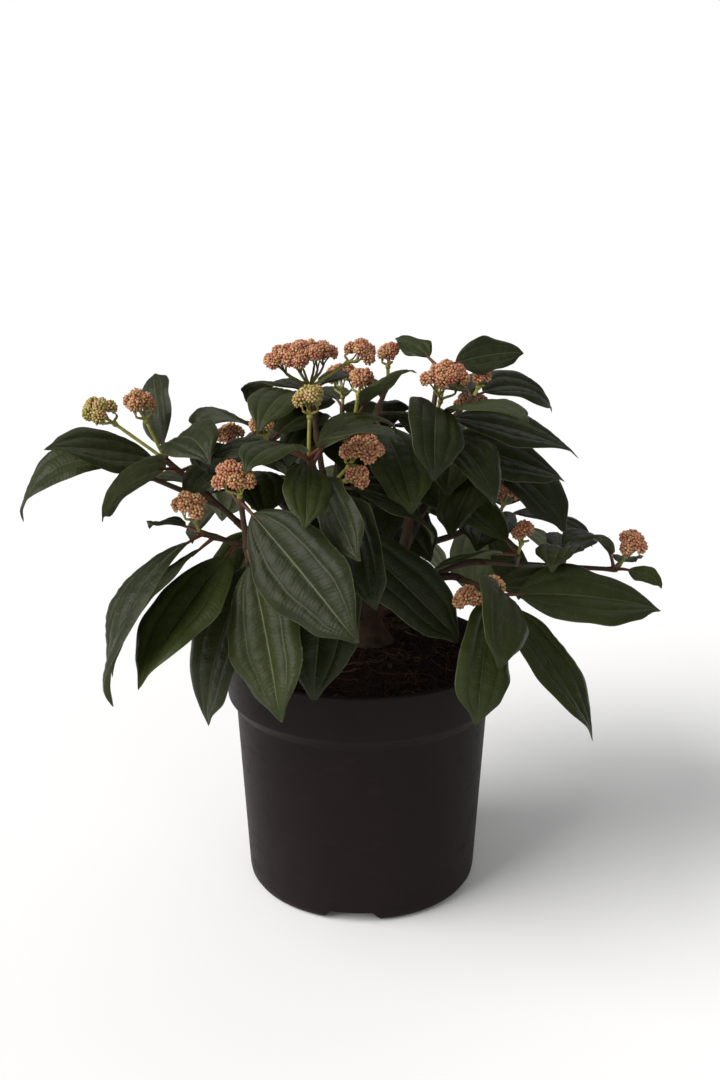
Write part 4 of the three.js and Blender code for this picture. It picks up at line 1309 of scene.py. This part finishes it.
def bark_ridges(angle, height):
    """Ridges that wander up the limb: a sum of sines of the angle and the height along."""
    total = 0
    for turns, climb, phase in BARK_RIDGES:
        sway = RIDGE_SWAY * np.sin(climb * height * RIDGE_SWAY_PACE + phase)
        total = total + np.sin(turns * angle + climb * height + phase + sway) / np.sqrt(turns)
    return total


def bark_finish():
    """Dark brown bark in two shades, with a reddish cast in patches and fine furrows."""
    finish = Finish("bark", 0.85, gloss=0.3)
    patches = finish.contrast(finish.noise(BARK_WAVES, detail=5.0), *BARK_EDGES)
    ground = finish.between(patches, (0.020, 0.011, 0.007), (0.056, 0.033, 0.020))
    warm = finish.contrast(finish.noise(WARM_WAVES, detail=2.0), *WARM_EDGES)
    finish.set("Base Color", finish.between(warm * WARM_SHARE, ground, (0.048, 0.016, 0.009)))
    finish.relief(finish.noise(FURROW_WAVES, detail=5.0), FURROW_DEPTH)
    return finish.material


def dress_limbs():
    """Each limb is a rod whose radius swells and sinks with the bark's ridges. The length of
    its name turns them, so that the limbs differ."""
    piece = Piece("trunk_and_boughs")
    for name, (curve, radius) in limbs.items():
        sides = LIMB_SIDES["trunk" if name == "trunk" else "bough"]
        along = np.linspace(0, 1, int(curve.length / LIMB_STEP) + LEAST_LIMB_RINGS)
        angle = TURN * np.arange(sides) / sides
        ridges = bark_ridges(angle[None] + len(name), along[:, None] * curve.length)
        thick = radius(along)[:, None] * (1 + BARK_RELIEF * ridges)
        add_rod(piece, curve.at(along), thick, sides, 0)
    made = piece.build([bark_finish()])
    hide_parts("trunk", *(mass.name + "_bough" for mass in masses))


# Pot

# How the profile is cut into points, the small steps of its corners from the pot's main sizes,
# and its plastic
ARC_POINTS = 5
POT_STEP = 12
POT_CREASE = np.radians(38)
DISC_DRAFT = 2
DISC_FLOOR_DRAFT = 1
FOOT_RING_DRAFT = 0.5
FOOT_INSET = 0.6
RIM_DRAFT = 0.5
LIP_HEIGHT = 1.2
LIP_OUTER_INSET = 0.9
LIP_INNER_INSET = 2
LIP_INSIDE_INSET = 2.7
LIP_INSIDE_HEIGHT = 1.5
NOTCH_MARGIN = 1
FOOT_RING_MARGIN = 4
POT_ROUGHNESS = 0.44
CAST_WAVES, CAST_EDGES = 9, (0.3, 0.7)
SCUFF_WAVES, SCUFF_EDGES = 60, (0.56, 0.8)
SCUFF_SQUASH = (1.0, 1.0, 2.5)
SCUFF_SHARE = 0.3
SCUFF_DULLING = 0.2
MOTTLE_WAVES, MOTTLE_DULLING = 300, 0.1
MOULD_WAVES, MOULD_DEPTH = 2600, 0.00006


def rounded(corners):
    """A profile of (radius, height, fillet) whose corners become arcs of a few points: each
    arc is a quadratic curve between the two points one fillet before and after the corner."""
    corners = np.array(corners, float)
    points = corners[:, :2]
    run = []
    for before, (*corner, fillet), after in zip(
            np.roll(points, 1, axis=0), corners, np.roll(points, -1, axis=0)):
        corner = np.array(corner)
        if fillet == 0:
            run.append(corner[None])
            continue
        start = corner + unit(before - corner) * fillet
        end = corner + unit(after - corner) * fillet
        t = np.linspace(0, 1, ARC_POINTS)[:, None]
        run.append((1 - t) ** 2 * start + 2 * t * (1 - t) * corner + t ** 2 * end)
    return np.concatenate(run)


def turned(profile, sides):
    """Rings of a profile of (radius, height) turned round +Z."""
    angle = TURN * np.arange(sides) / sides
    radius, height = profile[:, 0], profile[:, 1]
    return np.stack([np.outer(radius, np.cos(angle)), np.outer(radius, np.sin(angle)),
                     np.outer(height, np.ones(sides))], axis=-1)


def densified(profile, step):
    """The same profile with points no further than one step apart."""
    chords = np.linalg.norm(np.diff(profile, axis=0), axis=1)
    run = [profile[:1]]
    for start, end, chord in zip(profile[:-1], profile[1:], chords):
        count = max(1, int(np.ceil(chord / step)))
        run.append(start + (end - start) * (np.arange(count)[:, None] + 1) / count)
    return np.concatenate(run)


def pot_profile():
    """Up the outside from the middle of the underside, over the rim and down the inside."""
    low = POT_HEIGHT - RIM_DEPTH
    shoulder = low + RIM_CHAMFER
    floor = GROOVE_HEIGHT + POT_WALL
    return rounded([
        (POLE_RADIUS, 0, 0), (DISC_RADIUS, 0, 0.8), (DISC_RADIUS + DISC_DRAFT, GROOVE_HEIGHT, 0.8),
        (FOOT_RING_INNER - FOOT_RING_DRAFT, GROOVE_HEIGHT, 0.4), (FOOT_RING_INNER, 0, 0.4),
        (BODY_LOW_RADIUS - FOOT_INSET, 0, CORNER_RADIUS), (BODY_TOP_RADIUS, low, 0.7),
        (RIM_RADIUS - RIM_DRAFT, shoulder, 1.2), (RIM_RADIUS, POT_HEIGHT - LIP_HEIGHT, 0.7),
        (RIM_RADIUS - LIP_OUTER_INSET, POT_HEIGHT, 0.4),
        (RIM_RADIUS - LIP_INNER_INSET, POT_HEIGHT, 0.4),
        (RIM_RADIUS - LIP_INSIDE_INSET, POT_HEIGHT - LIP_INSIDE_HEIGHT, 0.5),
        (RIM_RADIUS - POT_WALL - RIM_DRAFT, shoulder, 0.8), (BODY_TOP_RADIUS - POT_WALL, low, 0.8),
        (BODY_LOW_RADIUS - POT_WALL, floor, 1.5), (DISC_RADIUS + DISC_FLOOR_DRAFT, floor, 0.5),
        (DISC_RADIUS - DISC_FLOOR_DRAFT, POT_WALL, 0.5), (POLE_RADIUS, POT_WALL, 0),
    ])


def cut_notches(rings):
    """Lifts the foot ring in each notch: a floor that rises by the notch's slope from its
    low width to its top width, to the height of the groove."""
    radius = np.hypot(rings[..., 0], rings[..., 1])
    angle = np.degrees(np.arctan2(rings[..., 1], rings[..., 0]))
    step = 360 / NOTCH_COUNT
    away = np.radians((angle - NOTCH_TURN + step / 2) % step - step / 2) * radius
    slope = 2 * (GROOVE_HEIGHT + NOTCH_MARGIN) / (NOTCH_LOW_WIDTH - NOTCH_TOP_WIDTH)
    floor = (NOTCH_LOW_WIDTH / 2 - np.abs(away)) * slope - NOTCH_MARGIN
    foot = (radius > FOOT_RING_INNER - FOOT_RING_MARGIN) & (rings[..., 2] < GROOVE_HEIGHT)
    lifted = np.maximum(rings[..., 2], np.clip(floor, 0, GROOVE_HEIGHT))
    rings[..., 2] = np.where(foot, lifted, rings[..., 2])
    return rings


def pot_finish():
    """Dark moulded plastic: a faint brown cast in broad patches, pale scuffs that dull it, and
    a fine moulded grain."""
    finish = Finish("pot plastic", gloss=0.08)
    cast = finish.contrast(finish.noise(CAST_WAVES, detail=2.0), *CAST_EDGES)
    ground = finish.between(cast, (0.0088, 0.0052, 0.0054), (0.0125, 0.0076, 0.0078))
    squashed = finish.node("ShaderNodeMapping", (), {
        "Vector": finish.place, "Scale": SCUFF_SQUASH})
    scuffs = finish.contrast(finish.noise(SCUFF_WAVES, 6.0, squashed), *SCUFF_EDGES)
    finish.set("Base Color", finish.between(scuffs * SCUFF_SHARE, ground, (0.024, 0.017, 0.017)))
    finish.set("Roughness", POT_ROUGHNESS + scuffs * SCUFF_DULLING
               + finish.noise(MOTTLE_WAVES) * MOTTLE_DULLING)
    finish.relief(finish.noise(MOULD_WAVES, detail=2.0), MOULD_DEPTH)
    return finish.material


def dress_pot():
    """The pot as one turned shell with rounded corners and three notches in its foot."""
    piece = Piece("plastic_pot")
    profile = densified(pot_profile(), POT_STEP)
    quads, fans = sleeve_faces(len(profile), POT_SIDES)
    piece.add(sleeve(cut_notches(turned(profile, POT_SIDES))), (quads, fans), (0, 0))
    made = piece.build([pot_finish()], sharp=POT_CREASE)
    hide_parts("pot")


# Soil

SOIL_RINGS = 90
SOIL_SIDES = 220
SOIL_SEED = 31
SOIL_EDGE_GAP = 1.2
SOIL_DEPTH = 20
SOIL_SINK = 0.8
SKIRT_INSET = 2
BEVEL_INSET, BEVEL_DEPTH = 0.4, 5

# The dome as (share of the rim's radius, height), and swells as (two paces in radians a
# millimetre, height)
SOIL_DOME = ((0.45, SOIL_TOP - 4), (0.72, SOIL_EDGE + 4), (1, SOIL_EDGE))
SOIL_SWELLS = ((0.09, 0.05, 1.1), (0.17, -0.13, 0.9), (-0.31, 0.27, 0.55), (0.52, 0.44, 0.35),
               (-0.83, 0.61, 0.22), (1.1, -0.97, 0.16))
SWELL_PHASE = 9

# Crumbs and root fibres: how many, how far out they lie, and the ranges of their draws
CRUMB_COUNT = 900
CRUMB_REACH = 0.98
CRUMB_SIZES = (0.5, 2.1)
CRUMB_SQUASH = (0.5, 1.2)
CRUMB_ROUNDS, CRUMB_SIDES = 2, 5
CRUMB_FLATNESS = 0.8
CRUMB_SHARES = (0.55, 0.2, 0.25)
FIBRE_COUNT = 620
FIBRE_REACH = 0.92
FIBRE_LENGTHS = (7, 30)
FIBRE_CURL = 1.5
FIBRE_THICKNESSES = (0.16, 0.5)
FIBRE_TAPER = 1.2
FIBRE_LIFTS = (0.1, 1.6)
FIBRE_GAP = 0.2
FIBRE_EDGE_GAP = 1.5
FIBRE_SIDES, FIBRE_RINGS = 5, 9
FIBRE_SHARES = (0.5, 0.36, 0.14)

SOIL_FINISHES = [
    mottled("soil", (0.0070, 0.0040, 0.0026), (0.0230, 0.0120, 0.0070), 0.95, 210, 0.0016, 0.2),
    mottled("crumb dark", (0.006, 0.0036, 0.0026), (0.012, 0.007, 0.0045), 0.95, 300, 0.0006, 0.2),
    mottled("crumb red", (0.030, 0.0095, 0.0055), (0.050, 0.017, 0.009), 0.9, 300, 0.0006, 0.2),
    mottled("fibre dark", (0.0180, 0.0080, 0.0050), (0.0300, 0.0140, 0.0080), 0.85, 200, gloss=0.2),
    mottled("fibre red", (0.0520, 0.0160, 0.0090), (0.0760, 0.0270, 0.0150), 0.85, 200, gloss=0.2),
    mottled("fibre pale", (0.0850, 0.0480, 0.0280), (0.1200, 0.0700, 0.0400), 0.85, 200, gloss=0.2),
]
SOIL, CRUMB_DARK, CRUMB_RED, FIBRE_DARK, FIBRE_RED, FIBRE_PALE = range(len(SOIL_FINISHES))


def soil_height(x, y):
    """The low dome of the soil by distance from the middle, with swells as sums of sines."""
    away = np.hypot(x, y)
    shares, heights = zip(*SOIL_DOME)
    dome = np.interp(away, (0, SOIL_SEAT_RADIUS, *(RIM_RADIUS * share for share in shares)),
                     (SOIL_TOP, SOIL_TOP, *heights))
    swells = sum(high * np.sin(a * x + b * y + SWELL_PHASE * a) * np.cos(b * x - a * y)
                 for a, b, high in SOIL_SWELLS)
    return dome + swells - SOIL_SINK


def add_crumbs(piece, edge, chance):
    """Crumbs strewn evenly over the soil: the way out is the square root of an even draw."""
    lump, faces = small_ball(CRUMB_ROUNDS, CRUMB_SIDES, CRUMB_FLATNESS)
    away = edge * np.sqrt(chance.uniform(0, 1, CRUMB_COUNT)) * CRUMB_REACH
    angle = chance.uniform(0, TURN, CRUMB_COUNT)
    x, y = away * np.cos(angle), away * np.sin(angle)
    spots = np.stack([x, y, soil_height(x, y)], axis=-1)
    sizes = chance.uniform(*CRUMB_SIZES, (CRUMB_COUNT, 1))
    sizes = sizes * chance.uniform(*CRUMB_SQUASH, (CRUMB_COUNT, 3))
    kinds = chance.choice([CRUMB_DARK, CRUMB_RED, SOIL], CRUMB_COUNT, p=CRUMB_SHARES)
    add_copies(piece, lump, faces, spots, sizes, chance.normal(0, 1, (CRUMB_COUNT, 3)), kinds)


def add_fibre(piece, edge, chance):
    """A root fibre: its bearing turns evenly on the way along, it arches up as a cosine and
    its radius falls with the square of the way from its middle."""
    away, angle = edge * FIBRE_REACH * np.sqrt(chance.uniform()), chance.uniform(0, TURN)
    length, way = chance.uniform(*FIBRE_LENGTHS), chance.uniform(0, TURN)
    curl = chance.normal(0, FIBRE_CURL)
    along = np.linspace(-0.5, 0.5, FIBRE_RINGS)
    bearing = way + curl * along
    x = away * np.cos(angle) + length * along * np.cos(bearing)
    y = away * np.sin(angle) + length * along * np.sin(bearing)
    inside = np.minimum(1, (edge - FIBRE_EDGE_GAP) / np.maximum(np.hypot(x, y), 1))
    x, y = x * inside, y * inside
    thick = chance.uniform(*FIBRE_THICKNESSES)
    lift = chance.uniform(*FIBRE_LIFTS) * np.cos(np.pi * along) + FIBRE_GAP
    path = np.stack([x, y, soil_height(x, y) + lift], axis=-1)
    kind = chance.choice([FIBRE_DARK, FIBRE_RED, FIBRE_PALE], p=FIBRE_SHARES)
    add_rod(piece, path, thick * (1 - FIBRE_TAPER * along ** 2), FIBRE_SIDES, kind)


def dress_soil():
    """A disc of soil that runs down inside the wall, strewn with crumbs and root fibres."""
    chance = np.random.default_rng(SOIL_SEED)
    piece = Piece("soil_bed")
    edge = RIM_RADIUS - POT_WALL - SOIL_EDGE_GAP
    low = SOIL_EDGE - SOIL_DEPTH
    skirt = np.array([[POLE_RADIUS, low], [edge - SKIRT_INSET, low],
                      [edge - BEVEL_INSET, SOIL_EDGE - BEVEL_DEPTH]])
    radii = np.linspace(edge, POLE_RADIUS, SOIL_RINGS)
    rings = turned(np.concatenate([skirt, np.stack([radii, radii], axis=-1)]), SOIL_SIDES)
    top = rings[len(skirt):]
    top[..., 2] = soil_height(top[..., 0], top[..., 1])
    quads, fans = sleeve_faces(len(rings), SOIL_SIDES)
    piece.add(sleeve(rings), (quads, fans), (SOIL, SOIL))
    add_crumbs(piece, edge, chance)
    for _ in range(FIBRE_COUNT):
        add_fibre(piece, edge, chance)
    made = piece.build(SOIL_FINISHES)
    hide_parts("soil")


# Stage: floor, soft light and camera. Places of lamps, the floor and the clip are in metres.

CAMERA_TARGET = (-1.35, 0, 248.2)
CAMERA_DISTANCE = 900
CAMERA_DROP = np.radians(16.2)
CAMERA_FOCUS = 1309.5
IMAGE_HEIGHT = 1080
SENSOR = 36
CLIP = (0.01, 200)
FLOOR_RADIUS = 40.0
FLOOR_SIDES = 96
FLOOR_COLOUR = (0.975, 0.98, 1.0)
FILL = 0.25
FILL_COLOUR = (1, 1, 0.98)
LAMP_TARGET = (0, 0, 0.22)
LAMP_SPREAD = np.radians(55)
LAMPS = (
    ("key", (-1.8, -0.72, 1.52), 3.9, (1.0, 0.98, 0.945)),
    ("front", (0.4, -1.6, 0.9), 0.5, (1.0, 0.99, 0.96)),
    ("back", (0.3, 1.2, 1.6), 0.32, (1.0, 1.0, 1.0)),
)


def set_floor():
    """A wide pale disc under the pot."""
    floor = bpy.data.meshes.new("floor")
    angle = TURN * np.arange(FLOOR_SIDES) / FLOOR_SIDES
    ring = np.stack([np.cos(angle), np.sin(angle), 0 * angle], axis=-1) * FLOOR_RADIUS
    floor.from_pydata(ring.tolist(), [], [list(range(FLOOR_SIDES))])
    finish = Finish("floor", 0.9, gloss=0.0)
    finish.set("Base Color", FLOOR_COLOUR)
    floor.materials.append(finish.material)
    ground = bpy.data.objects.new("floor", floor)
    bpy.context.scene.collection.objects.link(ground)


def set_fill():
    """Weak even light from all round, with a white backdrop behind the floor's edge."""
    world = bpy.data.worlds.new("studio")
    bpy.context.scene.world = world
    world.use_nodes = True
    sky = Shading(world.node_tree)
    fill = world.node_tree.nodes["Background"]
    sky.feed(fill.inputs["Color"], FILL_COLOUR)
    sky.feed(fill.inputs["Strength"], FILL)
    backdrop = sky.node("ShaderNodeBackground", (), {"Color": (1, 1, 1)})
    seen = sky.node("ShaderNodeLightPath", output="Is Camera Ray")
    both = sky.node("ShaderNodeMixShader", (), {0: seen, 1: Value(sky, fill.outputs[0]), 2: backdrop})
    sky.feed(world.node_tree.nodes["World Output"].inputs["Surface"], both)


def add_lamp(name, place, power, colour):
    """A far, wide, soft lamp that shines from the place towards the plant: its own -Z looks at
    the target."""
    data = bpy.data.lights.new(name, "SUN")
    data.energy, data.angle, data.color = power, LAMP_SPREAD, colour
    lamp = bpy.data.objects.new(name, data)
    lamp.location = place
    away = Vector(LAMP_TARGET) - lamp.location
    lamp.rotation_euler = away.to_track_quat("-Z", "Y").to_euler()
    bpy.context.scene.collection.objects.link(lamp)


def set_camera():
    """The camera looks down by its drop at the target, with the lens that gives the focus, in
    rows of the image."""
    data = bpy.data.cameras.new("camera")
    data.sensor_width = SENSOR
    data.lens = CAMERA_FOCUS / IMAGE_HEIGHT * SENSOR
    data.clip_start, data.clip_end = CLIP
    camera = bpy.data.objects.new("camera", data)
    back = np.array([0, -np.cos(CAMERA_DROP), np.sin(CAMERA_DROP)])
    camera.location = (np.array(CAMERA_TARGET) + back * CAMERA_DISTANCE) * MM
    camera.rotation_euler = (np.pi / 2 - CAMERA_DROP, 0, 0)
    bpy.context.scene.collection.objects.link(camera)
    bpy.context.scene.camera = camera


dress_pot()
dress_soil()
dress_limbs()
dress_twigs()
dress_leaves()
dress_heads()
set_floor()
set_fill()
for lamp_settings in LAMPS:
    add_lamp(*lamp_settings)
set_camera()
bpy.context.scene.view_settings.view_transform = "Standard"
bpy.context.view_layer.update()
